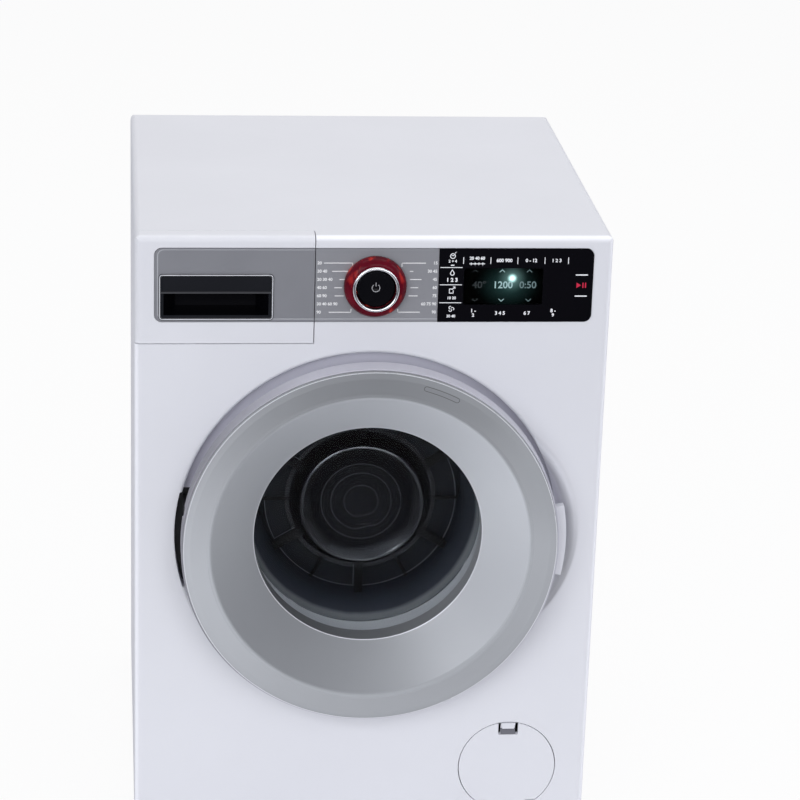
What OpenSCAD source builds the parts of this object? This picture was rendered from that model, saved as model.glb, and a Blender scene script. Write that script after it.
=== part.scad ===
// Toy front-loading washing machine, in millimetres.
// +Z is up, the front faces -Y and +X is on the right of someone who looks at the front.
// The origin is on the floor, under the middle of the whole machine.

/* [Body] */
// Width of the body
body_w = 185; // [180:1:200]
// Depth of the body from its front plane to its back
body_d = 185; // [175:1:210]
// Height of the top above the floor
body_h = 260; // [256:1:280]
// Wall of the moulded body shells
wall = 2.2; // [1.8:0.1:2.6]
// Rounding of the outer edges of the body
edge_r = 2.4; // [1:0.1:3]
// How far the front panel wraps round the top and sides
front_wrap = 8; // [7:0.5:10]
// Height of the rubber feet below the body
foot_h = 3; // [2:0.5:5]
// Radius of a rubber foot
foot_r = 7; // [5:0.5:9]
// Distance of the feet and base screws from the body's sides
foot_inset = 18; // [15:1:25]
// Visible gap round a moving panel
seam = 0.35; // [0.3:0.05:0.5]
// Clearance between pieces that seat in one another
fit = 0.2; // [0.1:0.05:0.3]
// Radial clearance of a shaft or pin that turns in its bore
run = 0.06; // [0.03:0.01:0.09]

/* [Door] */
// Distance of the door's centre below the top of the body
door_drop = 123.2; // [120:0.5:125]
// Outer radius of the white door casing
door_r = 74.6; // [73:0.1:76]
// Step from the casing's edge to the silver ring's
ring_step = 0.6; // [0.5:0.1:0.8]
// How far the ring stands out from the front plane
door_proud = 16.2; // [15:0.1:18]
// Width of the ring's flat band
ring_band = 10.8; // [8:0.1:12]
// Radius of the door's opening
opening_r = 45.5; // [43:0.1:46]
// How far the edge of that opening stands out from the front plane
opening_proud = 1.4; // [0.5:0.1:3]
// How far the collar reaches behind the front plane
collar_depth = 8; // [6:0.5:10]
// Wall of the door's ring and casing
door_wall = 1.6; // [1.2:0.1:2]
// Height of the casing's back edge in front of the front plane
casing_proud = 6.4; // [5.5:0.1:7]
// Height of the seam between ring and casing
ring_seam = 13.4; // [12:0.1:14]
// Distance of the catch's hook inside the casing's edge
hook_inset = 9.6; // [9:0.1:10]
// How far the finger grip on the right stands out from the casing
grip_out = 3.7; // [3:0.1:5]
// Half of the angle that the finger grip takes up
grip_angle = 11; // [8:1:15]
// Thickness of the window
glass_t = 1.2; // [0.8:0.1:2]
// How far the window bulges inwards
glass_dome = 3.5; // [2:0.5:5]
// Distance of the hinge pin inside the casing's edge
hinge_inset = 3.1; // [2.8:0.1:3.5]
// Height of the hinge pin in front of the front plane
hinge_p = 7; // [6.5:0.1:7.5]
// Radius of the hinge pin
hinge_pin_r = 1; // [0.8:0.1:1.2]
// Half length of the door's hinge barrel
barrel_half = 10.6; // [9:0.1:12]
// Thickness of a hinge lug
lug_t = 3.5; // [3:0.1:4]

/* [Door recess] */
// Gap between the door and the side of its recess
recess_gap = 1.3; // [1:0.1:2]
// Depth of that recess
recess_depth = 6; // [5:0.1:7]
// Rounding of its outer edge
recess_edge = 1.6; // [0.5:0.1:2]
// Sideways place of the finger dish's centre
dish_x = 31; // [28:0.5:33]
// Width of the finger dish's slope
dish_slope = 14; // [12:0.5:16]
// Rounding at the top of the slope
dish_edge = 6; // [3:0.5:8]
// Inner radius of the soft seal in the mouth
seal_r = 47.6; // [47.5:0.1:48.5]
// Length of the seal behind the front plane
seal_depth = 20.5; // [18:0.5:21]
// Wall of the seal
seal_t = 1.8; // [1.2:0.1:2.4]

/* [Drum and drive] */
// Inner radius of the drum at its front rim
drum_r = 47.5; // [46:0.1:48]
// Inner radius of the drum at its back
drum_back_r = 39.6; // [38:0.1:42]
// Depth of the drum's front rim behind the front plane
drum_front = 22.5; // [21.5:0.1:24]
// Depth of the drum's back behind the front plane
drum_back = 38.5; // [37:0.5:44]
// Wall of the drum
drum_wall = 1.8; // [1.4:0.1:2.2]
// Room between the drum's back and the tub's
drum_room = 17.7; // [10:0.1:20]
// Radius of the flat face on the drum's hub
hub_r = 17.8; // [15:0.1:19]
// Height of that face above the drum's back
hub_h = 4.3; // [3:0.1:6]
// Radius of the raised rim round the hub's face
crest_r = 24.8; // [23:0.1:26]
// Height of the rim above the face
crest_h = 3.7; // [2:0.1:5]
// Radius at which the hub meets the drum's back
hub_base_r = 29; // [28:0.5:31]
// Number of ribs on the drum's back
rib_n = 12; // [6:2:16]
// Height of the tall ribs
rib_h = 3; // [2:0.5:5]
// Width of the tall ribs
rib_w = 3.2; // [2:0.1:4]
// Inner radius of the tub
tub_r = 53; // [52:0.5:56]
// Radius of the drum's shaft
shaft_r = 3; // [2.5:0.1:4]
// Teeth of the drum's gear
gear_teeth = 60; // [56:1:64]
// Teeth of the motor's pinion
pinion_teeth = 15; // [14:1:18]
// Tooth module of the gears
gear_m = 0.8; // [0.75:0.05:0.9]
// Thickness of the drum's gear
gear_t = 6; // [4:0.5:8]
// Radius of the motor's can
motor_r = 12.2; // [10:0.1:14]
// Length of the motor's can
motor_l = 31; // [25:0.5:35]
// Direction of the motor from the drum's centre, in degrees
motor_angle = -60; // [-70:1:-50]

/* [Control panel] */
// Distance of the control band's ends from the body's sides
band_side = 7.5; // [6:0.5:10]
// Height of the control band
band_h = 30; // [28:0.1:32]
// Distance of the band's top edge below the top of the body
band_top = 4.5; // [4:0.1:6]
// Rounding of the band's corners
band_r = 3; // [2:0.1:4]
// Thickness of the silver plates
plate_t = 1; // [0.9:0.1:1.2]
// Depth of the pocket that the plates sit in
pocket = 0.8; // [0.6:0.1:0.9]
// Width of the black display panel
display_w = 60.4; // [56:0.1:62]
// Distance of the dial's centre below the top of the body
knob_drop = 19.6; // [19:0.1:21]
// Outer radius of the red dial
knob_r = 12.25; // [11:0.05:13]
// Height of the dial above the front plane
knob_h = 5.2; // [4:0.1:7]
// Outer radius of the chrome ring in the dial
trim_r = 9.05; // [8.6:0.05:9.4]
// Radius of the push button
button_r = 7.4; // [6.8:0.05:7.5]
// Travel of the push button
button_travel = 1.5; // [1:0.1:2]
// Radius of the hole that the dial's sleeve turns in
knob_bore = 9.7; // [9.6:0.05:10]
// Depth of the circuit board behind the front plane
board_depth = 17; // [16.5:0.5:20]
// Width of the display window
window_w = 31; // [26:0.5:34]
// Height of the display window
window_h = 14.8; // [12:0.1:16]

/* [Detergent drawer] */
// Width of the drawer's front
drawer_w = 69.1; // [66:0.1:70]
// Distance of the drawer's bottom seam below the top of the body
drawer_h = 43.1; // [42:0.1:46]
// How far the drawer slides out
drawer_travel = 60; // [40:1:70]
// Length of the tray that stays in its housing when the drawer is out
tray_keep = 32; // [25:1:40]
// Wall of the tray and its housing
tray_wall = 1.6; // [1.2:0.1:2]
// Clearance round the tray in its housing
tray_gap = 0.5; // [0.3:0.1:0.8]
// Width of the handle cup
cup_w = 42.8; // [40:0.1:46]
// Height of the handle cup
cup_h = 17.2; // [15:0.1:18]
// Depth of the handle cup
cup_d = 10; // [8:0.5:12]
// Distance of the cup's centre from the body's left side
cup_side = 31.3; // [30:0.1:34]
// Distance of the cup's centre below the top of the body
cup_drop = 24.2; // [22:0.1:25]
// Height of the flat bar across the top of the cup
bar_h = 5.9; // [5:0.1:7]

/* [Service flap] */
// Distance of the flap's centre from the body's right side
flap_side = 32.4; // [31:0.1:35]
// Height of the flap's centre above the floor
flap_z = 32.5; // [32:0.1:36]
// Radius of the flap
flap_r = 19.85; // [18:0.05:20]
// Thickness of the flap
flap_t = 2; // [1.6:0.1:2.2]
// Width of the finger notch in the flap
notch_w = 8.2; // [7:0.1:9]
// Depth of the cup behind the flap
drain_depth = 22; // [18:0.5:28]
// Radius of the drain cap
drain_r = 9; // [7:0.5:10]

/* [Back] */
// Width of the battery cover
battery_w = 70; // [60:1:80]
// Height of the battery cover
battery_h = 61; // [60:1:66]
// Depth of the battery box
battery_d = 20; // [17:0.5:24]
// Radius of an AA cell, with room to drop it in
cell_r = 7.6; // [7.4:0.1:8]
// Height of the battery cover's lower edge above the floor
battery_z = 22; // [20:1:30]
// Radius of the loudspeaker
speaker_r = 20; // [15:0.5:25]
// Distance of the loudspeaker's centre below the top of the body
speaker_drop = 75; // [60:1:80]
// Radius of the screws' shanks
screw_r = 1.4; // [1.2:0.1:1.6]
// Length of the screws' shanks
screw_l = 9; // [7:0.5:10]

/* [Hidden] */

$fn = 96;
eps = 0.01;
front_y = -(body_d - door_proud) / 2;
back_y = front_y + body_d;
shell_h = body_h - foot_h;
inner_w = body_w - 2 * wall;
screw_head_r = 2 * screw_r;
screw_head_h = 1.6;
pilot_r = screw_r + 0.05;
pass_r = screw_r + 0.25;
post_r = screw_r + 2.6;

// Colours
white_c = [0.93, 0.94, 0.96];
silver_c = [0.70, 0.71, 0.74];
plate_c = [0.54, 0.55, 0.58];
black_c = [0.05, 0.05, 0.06];
chrome_c = [0.86, 0.87, 0.89];
steel_c = [0.62, 0.63, 0.65];
grey_c = [0.75, 0.76, 0.78];
smoke_c = [0.16, 0.17, 0.20];
red_c = [0.60, 0.05, 0.08];
rubber_c = [0.15, 0.15, 0.16];
green_c = [0.10, 0.35, 0.22];
brass_c = [0.78, 0.62, 0.30];

// ---------- helpers ----------

// A rectangle centred on the origin with round corners
module rounded(w, h, r) {
    square([w - 2 * r, h], center = true);
    square([w, h - 2 * r], center = true);
    for (x = [-1, 1], y = [-1, 1])
        translate([x * (w / 2 - r), y * (h / 2 - r)]) circle(r, $fn = 48);
}

// Puts children drawn as (right, up, outwards) at a place on the front plane
module on_front(x = 0, z = 0) {
    translate([x, front_y, z]) rotate([90, 0, 0]) children();
}

// The same on the door's axis
module on_door() {
    on_front(0, door_z) children();
}

// A box on the front plane between two corners given as [x, z, outwards]
module front_box(a, b) {
    translate([min(a[0], b[0]), front_y - max(a[2], b[2]), min(a[1], b[1])])
        cube([abs(a[0] - b[0]), abs(a[2] - b[2]), abs(a[1] - b[1])]);
}

// A cylinder whose axis stands on the front plane, from p0 to p1 outwards
module front_rod(x, z, p0, p1, r) {
    on_front(x, z) translate([0, 0, p0]) cylinder(r = r, h = p1 - p0);
}

// A tube whose axis stands on the front plane
module front_tube(x, z, p0, p1, r_out, r_in) {
    difference() {
        front_rod(x, z, p0, p1, r_out);
        front_rod(x, z, p0 - 1, p1 + 1, r_in);
    }
}

// A screw with a domed head; its shank points along -Z from under the head
module screw(length = screw_l) {
    translate([0, 0, -length]) cylinder(r = screw_r, h = length + eps, $fn = 32);
    difference() {
        cylinder(r = screw_head_r, h = screw_head_h, $fn = 40);
        for (a = [0, 90])
            rotate(a) translate([0, 0, screw_head_h - 0.45])
                cube([3.2 * screw_r, 0.5, 1], center = true);
    }
}

// The body's outline between two depths, with its front or back edges rounded
module body_block(y0, y1, round_front, round_back) {
    reach = 3 * edge_r;
    r0 = round_front ? 0 : reach;
    r1 = round_back ? 0 : reach;
    length = y1 - y0 + r0 + r1;
    middle = (y0 - r0 + y1 + r1) / 2;
    intersection() {
        translate([0, y1, foot_h + shell_h / 2]) rotate([90, 0, 0])
            linear_extrude(y1 - y0) rounded(body_w, shell_h, edge_r);
        translate([0, middle, foot_h - 1]) linear_extrude(shell_h + 2)
            rounded(body_w, length, edge_r);
        translate([-body_w / 2 - 1, middle, foot_h + shell_h / 2]) rotate([90, 0, 90])
            linear_extrude(body_w + 2) rounded(length, shell_h, edge_r);
    }
}

// ---------- places that several pieces share ----------

door_z = body_h - door_drop;
ring_r = door_r - ring_step;
bevel_r = ring_r - ring_band;
grip_r = door_r + grip_out;
hinge_x = door_r - hinge_inset;
recess_r = door_r + recess_gap;
// the dish ends half way between the grip and the side of the body
dish_r = (grip_r + body_w / 2) / 2 - dish_x;
band_w = body_w - 2 * band_side;
display_x = band_w / 2 - display_w;
drawer_x = drawer_w - body_w / 2;
cup_x = cup_side - body_w / 2;
flap_x = body_w / 2 - flap_side;
speaker_z = body_h - speaker_drop;
band_z = body_h - band_top - band_h / 2;
knob_z = body_h - knob_drop;
drawer_z = body_h - drawer_h;
cup_z = body_h - cup_drop;
panel_t = recess_depth + wall;
shelf_p = -front_wrap - 0.5;
rear_post_l = 14;
rear_x = body_w / 2 - wall - post_r - 1;
rear_z = [foot_h + 16, foot_h + shell_h / 2, body_h - 14];
foot_x = body_w / 2 - foot_inset;
foot_y = [front_y + foot_inset + 4, back_y - foot_inset];
base_screw_x = body_w / 2 - wall - 5;
base_screw_y = [front_y + 45, back_y - 45];
base_t = 2.4;
ledge_w = 10;

// ---------- body ----------

module cabinet_shell() {
    color(white_c) {
        difference() {
            body_block(front_y + front_wrap, back_y, false, true);
            translate([-inner_w / 2, front_y, -1])
                cube([inner_w, body_d + 1, body_h - wall + 1]);
        }
        // ledges that the base plate is screwed up against
        for (s = [-1, 1], y = base_screw_y)
            difference() {
                translate([s * (inner_w / 2 + eps) - (s > 0 ? ledge_w : 0), y - 6,
                    foot_h + base_t]) cube([ledge_w, 12, 10]);
                translate([s * base_screw_x, y, foot_h]) cylinder(r = pilot_r, h = 12, $fn = 32);
            }
        // posts for the rear cover's screws
        for (s = [-1, 1], z = rear_z)
            difference() {
                union() {
                    translate([s * rear_x, back_y - wall, z]) rotate([90, 0, 0])
                        cylinder(r = post_r, h = rear_post_l, $fn = 40);
                    translate([s > 0 ? rear_x : -inner_w / 2 - eps,
                        back_y - wall - rear_post_l, z - 2])
                        cube([inner_w / 2 - rear_x + eps, rear_post_l, 4]);
                }
                translate([s * rear_x, back_y, z]) rotate([90, 0, 0])
                    cylinder(r = pilot_r, h = rear_post_l, $fn = 32);
            }
    }
}

// Cutter for the recess, with the panel's edge rounded over
module recess_cutter() {
    rotate_extrude($fn = 128) polygon(concat(
        [[0, 1], [0, -recess_depth], [recess_r, -recess_depth]],
        [for (a = [0:15:90]) [recess_r + recess_edge * (1 - cos(a)),
            -recess_edge * (1 - sin(a))]],
        [[recess_r + recess_edge, 1]]));
}

// Cutter for the finger dish: a flat floor, then a slope made of a hollow and a round arc
module dish_cutter() {
    depth = recess_depth - 0.3;
    hollow = (dish_slope * dish_slope + depth * depth) / (2 * depth) - dish_edge;
    foot = dish_r - dish_slope;
    turn = atan2(dish_slope, hollow + dish_edge - depth);
    rotate_extrude($fn = 128) polygon(concat(
        [[0, 1], [0, -depth]],
        [for (k = [0:5]) [foot + hollow * sin(turn * k / 5),
            hollow * (1 - cos(turn * k / 5)) - depth]],
        [for (k = [5:-1:0]) [dish_r - dish_edge * sin(turn * k / 6),
            -dish_edge * (1 - cos(turn * k / 6))]],
        [[dish_r, 1]]));
}

// Outline of the flap, or of its opening when a gap is given: a disc that is cut off above
// its hinge, and a tab that reaches down to the hinge's barrel
flap_hinge_drop = 17.8;
flap_shoulder = 2.2;
flap_pin_r = 0.75;
flap_barrel_r = 1.5;
flap_barrel_w = 17;
flap_lug_w = 2.8;
module flap_outline(gap) {
    low = gap > 0 ? flap_barrel_r + gap : 0;
    intersection() {
        circle(flap_r + gap);
        translate([-2 * flap_r, -flap_hinge_drop + flap_shoulder - 2.5 * gap])
            square(4 * flap_r);
    }
    translate([-flap_barrel_w / 2 - gap, -flap_hinge_drop - low])
        square([flap_barrel_w + 2 * gap, low + flap_shoulder + eps]);
}

board_x = [drawer_x + seam + wall + 1.3, band_w / 2 - 2];
board_drop = [9, 38];
board_post = [for (x = [board_x[0] + 5.5, display_x + 5, board_x[1] - 5]) [x, board_drop[1] - 4]];
mouth_r = seal_r + seal_t + fit;
slot_half = 20.2;
slot_drop = 2.3;
bracket_z = 21;
tub_screw_r = tub_r + 7;
tub_screw_a = [35, 145, 215, 325];
hinge_screw_z = 14;
hinge_screw_x = -recess_r - recess_edge - wall - post_r;
tongue_drop = 8;
lug_half = 1.8;
lug_deep = 1.6;

module front_panel() {
    color(white_c) difference() {
        union() {
            difference() {
                body_block(front_y, front_y + front_wrap, true, false);
                translate([-inner_w / 2, front_y + wall, foot_h + wall])
                    cube([inner_w, front_wrap, shell_h - 2 * wall]);
            }
            // backing of the recess and of the finger dish
            intersection() {
                union() {
                    front_rod(0, door_z, -panel_t, -wall + eps, recess_r + recess_edge + wall);
                    front_rod(dish_x, door_z, -panel_t, -wall + eps, dish_r + wall);
                }
                front_box([-body_w / 2 + wall - eps, foot_h + wall, 0],
                    [body_w / 2 - wall + eps, body_h, -panel_t]);
            }
            // shelf behind the drawer, with the walls that join it to the panel
            front_box([-inner_w / 2 + fit, drawer_z - wall - seam, shelf_p],
                [drawer_x + wall + seam, body_h - wall - fit, shelf_p - wall]);
            front_box([-inner_w / 2, drawer_z - wall - seam, -wall + eps],
                [drawer_x + seam + wall, drawer_z - seam, shelf_p - eps]);
            front_box([drawer_x + seam, drawer_z - wall - seam, -wall + eps],
                [drawer_x + seam + wall, body_h - wall + eps, shelf_p - eps]);
            // tongues that slide inside the cabinet's top and sides
            front_box([drawer_x + seam + wall + 1, body_h - wall - fit, -wall],
                [inner_w / 2 - 1, body_h - 2 * wall, -front_wrap - 3]);
            for (s = [-1, 1])
                front_box([s * (inner_w / 2 - fit), foot_h + wall + 20, -wall],
                    [s * (inner_w / 2 - wall), door_z - tongue_drop - recess_r, -front_wrap - 3]);
            // posts of the circuit board
            for (b = board_post)
                front_rod(b[0], body_h - b[1], -board_depth, -wall + eps, post_r - 0.8);
            // posts of the hinge bracket
            for (s = [-1, 1])
                front_rod(hinge_screw_x, door_z - slot_drop + s * hinge_screw_z, -panel_t,
                    -wall + eps, post_r - 0.8);
            // lugs of the flap's pin
            for (s = [-1, 1])
                front_box([flap_x + s * (flap_barrel_w / 2 + seam),
                    flap_z - flap_hinge_drop - lug_half, -wall + eps],
                    [flap_x + s * (flap_barrel_w / 2 + seam + flap_lug_w),
                    flap_z - flap_hinge_drop + lug_half, -wall - lug_deep]);
        }
        // the drawer's corner
        front_box([-body_w, drawer_z - seam, 1], [drawer_x + seam, body_h + 1, shelf_p]);
        // the way in for the tray
        front_box([tray_x0 - tray_gap, tray_z0 - tray_gap, 0],
            [tray_x1 + tray_gap, tray_z1 + tray_gap, shelf_p - wall - 1]);
        // door recess, finger dish and mouth
        on_door() recess_cutter();
        on_front(dish_x, door_z) dish_cutter();
        front_rod(0, door_z, -panel_t - 1, 1, mouth_r);
        // hinge slot in the edge of the recess
        intersection() {
            front_tube(0, door_z, -panel_t - 1, 1, recess_r + 1, hinge_x - 3.5);
            front_box([-body_w / 2, door_z - slot_drop - slot_half, 1],
                [0, door_z - slot_drop + slot_half, -panel_t - 1]);
        }
        // slot for the door's hook
        front_box([hook_x - 6, door_z - 4.2, 0], [hook_x + 6, door_z + 4.2, -panel_t - 1]);
        // pocket of the control band and the holes in it
        on_front(0, band_z) translate([0, 0, -pocket]) linear_extrude(pocket + 1)
            rounded(band_w, band_h, band_r);
        front_rod(0, knob_z, -wall - 1, 1, knob_bore);
        front_box([display_x + 5, band_z - band_h / 2 + 6, 1],
            [band_w / 2 - 4, band_z + band_h / 2 - 6, -wall - 1]);
        // opening of the service flap and the bores of its pin
        on_front(flap_x, flap_z) translate([0, 0, -wall - 1]) linear_extrude(wall + 2)
            flap_outline(seam);
        translate([flap_x - flap_barrel_w / 2 - seam - flap_lug_w - 1, front_y + flap_barrel_r,
            flap_z - flap_hinge_drop]) rotate([0, 90, 0])
            cylinder(r = flap_pin_r + 0.02, h = flap_barrel_w + 2 * (seam + flap_lug_w + 1),
            $fn = 32);
        // pilot holes
        for (a = tub_screw_a)
            front_rod(tub_screw_r * cos(a), door_z + tub_screw_r * sin(a),
                -panel_t - 1, -panel_t + 5, pilot_r);
        for (b = board_post)
            front_rod(b[0], body_h - b[1], -board_depth - 1, -board_depth + screw_l + 1, pilot_r);
        for (s = [-1, 1])
            front_rod(hinge_screw_x, door_z - slot_drop + s * hinge_screw_z, -panel_t - 1,
                -panel_t + 5, pilot_r);
    }
}

base_front = front_wrap + 0.3;
module base_plate() {
    color(white_c) difference() {
        translate([-inner_w / 2 + fit, front_y + base_front, foot_h])
            cube([inner_w - 2 * fit, body_d - base_front - wall - 2 * fit, base_t]);
        for (s = [-1, 1], y = foot_y)
            translate([s * foot_x, y, foot_h - 1]) cylinder(r = foot_r + 0.05, h = 2);
        for (s = [-1, 1], y = base_screw_y)
            translate([s * base_screw_x, y, foot_h - 1]) {
                cylinder(r = pass_r, h = base_t + 2, $fn = 32);
                cylinder(r = screw_head_r + 0.4, h = 1 + base_t / 2, $fn = 40);
            }
    }
}

module feet() {
    color(rubber_c) for (s = [-1, 1], y = foot_y)
        translate([s * foot_x, y, 0]) {
            cylinder(r = foot_r, h = foot_h + 1);
        }
}

module base_screws() {
    color(steel_c) for (s = [-1, 1], y = base_screw_y)
        translate([s * base_screw_x, y, foot_h + base_t / 2]) rotate([180, 0, 0])
            screw();
}

battery_top = battery_z + battery_h;
cover_lip = 3;
module rear_cover() {
    lower = foot_h + base_t + fit;
    color(white_c) difference() {
        translate([-inner_w / 2 + fit, back_y - wall, lower])
            cube([inner_w - 2 * fit, wall, body_h - wall - fit - lower]);
        for (s = [-1, 1], z = rear_z)
            translate([s * rear_x, back_y + 1, z]) rotate([90, 0, 0]) {
                cylinder(r = pass_r, h = wall + 2, $fn = 32);
                cylinder(r = screw_head_r + 0.4, h = 1 + screw_head_h, $fn = 40);
            }
        // opening of the battery box
        translate([-battery_w / 2 - seam, back_y - wall - 1, battery_z - seam])
            cube([battery_w + 2 * seam, wall + 2, battery_h + 2 * seam]);
        // sound slots
        for (k = [-3:3])
            translate([-sqrt(pow(speaker_r - 3, 2) - pow(k * 4.4, 2)), back_y - wall - 1,
                speaker_z + k * 4.4 - 1])
                cube([2 * sqrt(pow(speaker_r - 3, 2) - pow(k * 4.4, 2)), wall + 2, 2]);
    }
}

module rear_screws() {
    color(steel_c) for (s = [-1, 1], z = rear_z)
        translate([s * rear_x, back_y, z]) rotate([-90, 0, 0])
            translate([0, 0, -screw_head_h]) screw();
}

// ---------- door ----------

collar_t = 1.4;
collar_out = opening_r + collar_t;
rim_lip = 1.4;
ring_round = 0.8;
barrel_r = 2.2;
lug_r = 1.8;
lug_gap = 0.4;
hook_x = door_r - hook_inset;
hook_w = 6;
hook_t = 2;
hook_l = 10;

module door_ring() {
    cone_run = bevel_r - opening_r;
    cone_rise = door_proud - opening_proud;
    cone_len = sqrt(cone_run * cone_run + cone_rise * cone_rise);
    back_r = door_wall * cone_rise / cone_len;
    back_p = door_wall * cone_run / cone_len;
    front_line = [
        [ring_r, ring_seam],
        for (a = [0:15:90]) [ring_r - ring_round + ring_round * cos(a),
            door_proud - 0.25 - ring_round + ring_round * sin(a)],
        [ring_r - 3, door_proud],
        [bevel_r + 1.4, door_proud],
        [bevel_r + 0.4, door_proud - 0.15],
        [bevel_r - 0.5, door_proud - 0.7],
        [opening_r + 0.6, opening_proud + 0.45],
        [opening_r, opening_proud],
        [opening_r + 0.3, -collar_depth]];
    back_line = [
        [collar_out, -collar_depth],
        [collar_out, opening_proud - 1.1],
        [bevel_r + back_r, door_proud - back_p - 0.3],
        [ring_r - door_wall, door_proud - back_p - 0.6],
        [ring_r - door_wall, ring_seam]];
    color(silver_c) on_door() rotate_extrude($fn = 160) polygon(concat(front_line, back_line));
}

module door_casing() {
    lip_r = ring_r + 0.08;
    inner_r = door_r - door_wall;
    hub = collar_out + fit;
    wall_line = [
        [door_r, casing_proud],
        [door_r, door_proud - rim_lip],
        [lip_r, door_proud - rim_lip],
        [lip_r, ring_seam],
        [inner_r, ring_seam],
        [inner_r, casing_proud + 0.6],
        [door_r - 5, casing_proud - 1.6],
        [door_r - 13, casing_proud - 4.2],
        [hub + 1, 0.1],
        [hub, 0.1],
        [hub, 0.1 - door_wall],
        [hub + 2, 0.1 - door_wall],
        [door_r - 12.5, casing_proud - 5.9],
        [door_r - 4, casing_proud - 3.2]];
    color(white_c) difference() {
        union() {
            on_door() rotate_extrude($fn = 160) polygon(wall_line);
            // finger grip on the right
            intersection() {
                front_tube(0, door_z, casing_proud - 0.8, casing_proud + 2.4, grip_r,
                    inner_r + 0.4);
                on_front(0, door_z) linear_extrude(2 * door_proud, center = true)
                    polygon([[0, 0], [2 * door_r, -2 * door_r * tan(grip_angle)],
                        [2 * door_r, 2 * door_r * tan(grip_angle)]]);
            }
            // barrel for the hinge pin
            translate([-hinge_x, front_y - hinge_p, door_z - barrel_half])
                cylinder(r = barrel_r, h = 2 * barrel_half, $fn = 48);
            // hook of the catch
            front_box([hook_x - hook_w / 2, door_z - hook_t / 2, casing_proud - 4.5],
                [hook_x + hook_w / 2, door_z + hook_t / 2, -hook_l]);
        }
        translate([-hinge_x, front_y - hinge_p, door_z - barrel_half - 1])
            cylinder(r = hinge_pin_r + run, h = 2 * barrel_half + 2, $fn = 48);
        for (s = [-1, 1])
            front_box([-door_r - 1, door_z + s * (barrel_half + 0.05), -2],
                [-hinge_x + barrel_r, door_z + s * (barrel_half + lug_t + 2 * lug_gap + 0.2),
                hinge_p + lug_r + 1.2]);
    }
}

module door_window() {
    rim = opening_r - 1.6;
    ball = (rim * rim + glass_dome * glass_dome) / (2 * glass_dome);
    color([0.55, 0.58, 0.62, 0.35]) on_door() rotate_extrude($fn = 128) {
        translate([rim - eps, -collar_depth - glass_t])
            square([collar_out - 0.3 - rim, glass_t]);
        intersection() {
            translate([0, ball - collar_depth - glass_t - glass_dome]) difference() {
                circle(ball, $fn = 1440);
                circle(ball - glass_t, $fn = 1440);
            }
            translate([0, -collar_depth - glass_t - glass_dome - 1])
                square([rim, glass_dome + glass_t + 1]);
        }
    }
}

bracket_t = 2;
module door_hinge_bracket() {
    lug_z0 = barrel_half + lug_gap;
    color(black_c) difference() {
        union() {
            front_box([hinge_screw_x - post_r + 0.8, door_z - slot_drop - bracket_z, -panel_t],
                [-hinge_x + 7, door_z - slot_drop + bracket_z, -panel_t - bracket_t]);
            for (s = [-1, 1]) {
                front_box([-hinge_x - lug_r, door_z + s * lug_z0, hinge_p],
                    [-hinge_x + lug_r, door_z + s * (lug_z0 + lug_t), -panel_t - eps]);
                translate([-hinge_x, front_y - hinge_p, door_z + (s > 0 ? lug_z0 : -lug_z0 - lug_t)])
                    cylinder(r = lug_r, h = lug_t, $fn = 48);
            }
        }
        translate([-hinge_x, front_y - hinge_p, door_z - lug_z0 - lug_t - 1])
            cylinder(r = hinge_pin_r + 0.01, h = 2 * (lug_z0 + lug_t + 1), $fn = 48);
        for (s = [-1, 1])
            front_rod(hinge_screw_x, door_z - slot_drop + s * hinge_screw_z,
                -panel_t - bracket_t - 1, -panel_t + 1, pass_r);
    }
}

module door_hinge_pin() {
    half = barrel_half + lug_gap + lug_t;
    color(steel_c) translate([-hinge_x, front_y - hinge_p, door_z - half])
        cylinder(r = hinge_pin_r, h = 2 * half, $fn = 48);
}

module hinge_screws() {
    color(steel_c) for (s = [-1, 1])
        on_front(hinge_screw_x, door_z - slot_drop + s * hinge_screw_z)
            translate([0, 0, -panel_t - bracket_t]) rotate([180, 0, 0]) screw(6);
}

catch_t = 1.3;
module door_catch() {
    arm0 = hook_t / 2 + 0.3;
    color(white_c) difference() {
        union() {
            front_box([hook_x - 7, door_z - 7, -panel_t], [hook_x + 9, door_z + 7, -panel_t - 1.6]);
            for (s = [-1, 1])
                front_box([hook_x - 5, door_z + s * arm0, -panel_t - 1],
                    [hook_x + 5, door_z + s * (arm0 + catch_t), -panel_t - 8]);
        }
        front_box([hook_x - 6, door_z - arm0, 0], [hook_x + 6, door_z + arm0, -panel_t - 2]);
    }
}

flange_r = 53;
module door_seal() {
    bead = 1.1;
    color(grey_c) on_door() rotate_extrude($fn = 128) {
        translate([seal_r, -seal_depth]) square([seal_t, seal_depth - recess_depth + eps]);
        translate([seal_r, -recess_depth]) square([flange_r - seal_r, 0.9]);
        translate([seal_r + bead, -seal_depth]) circle(bead, $fn = 32);
    }
}

// ---------- tub, drum and drive ----------

tub_wall = 2;
tub_back = drum_back + drum_wall + drum_room;
boss_r = 9;
bush_out = shaft_r + 2.5;
bush_flange = 1.2;
bush_back = tub_back + tub_wall + 6;
gear_front = bush_back + bush_flange + 0.4;
gear_back = gear_front + gear_t + 1;
plate_front = gear_back + 4;
mesh_gap = 0.12;
centre_d = gear_m * (gear_teeth + pinion_teeth) / 2 + mesh_gap;
motor_x = centre_d * cos(motor_angle);
motor_z = door_z + centre_d * sin(motor_angle);
leg_r = gear_m * gear_teeth / 2 + gear_m + post_r + 1;
leg_places = [[leg_r, motor_angle - 40], [leg_r, motor_angle + 40], [centre_d + 16, motor_angle]];
duct_x = drawer_x - 11.6;
duct_d = 50;
outlet_x = 25;
outlet_d = 40;
nozzle_r = 4;
nozzle_wall = 1.2;
nozzle_l = 14;
nozzle_z = door_z - sqrt(pow(tub_r + tub_wall, 2) - outlet_x * outlet_x) - 6;
inlet_z = door_z + sqrt(pow(tub_r + tub_wall, 2) - duct_x * duct_x) + 7;

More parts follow.
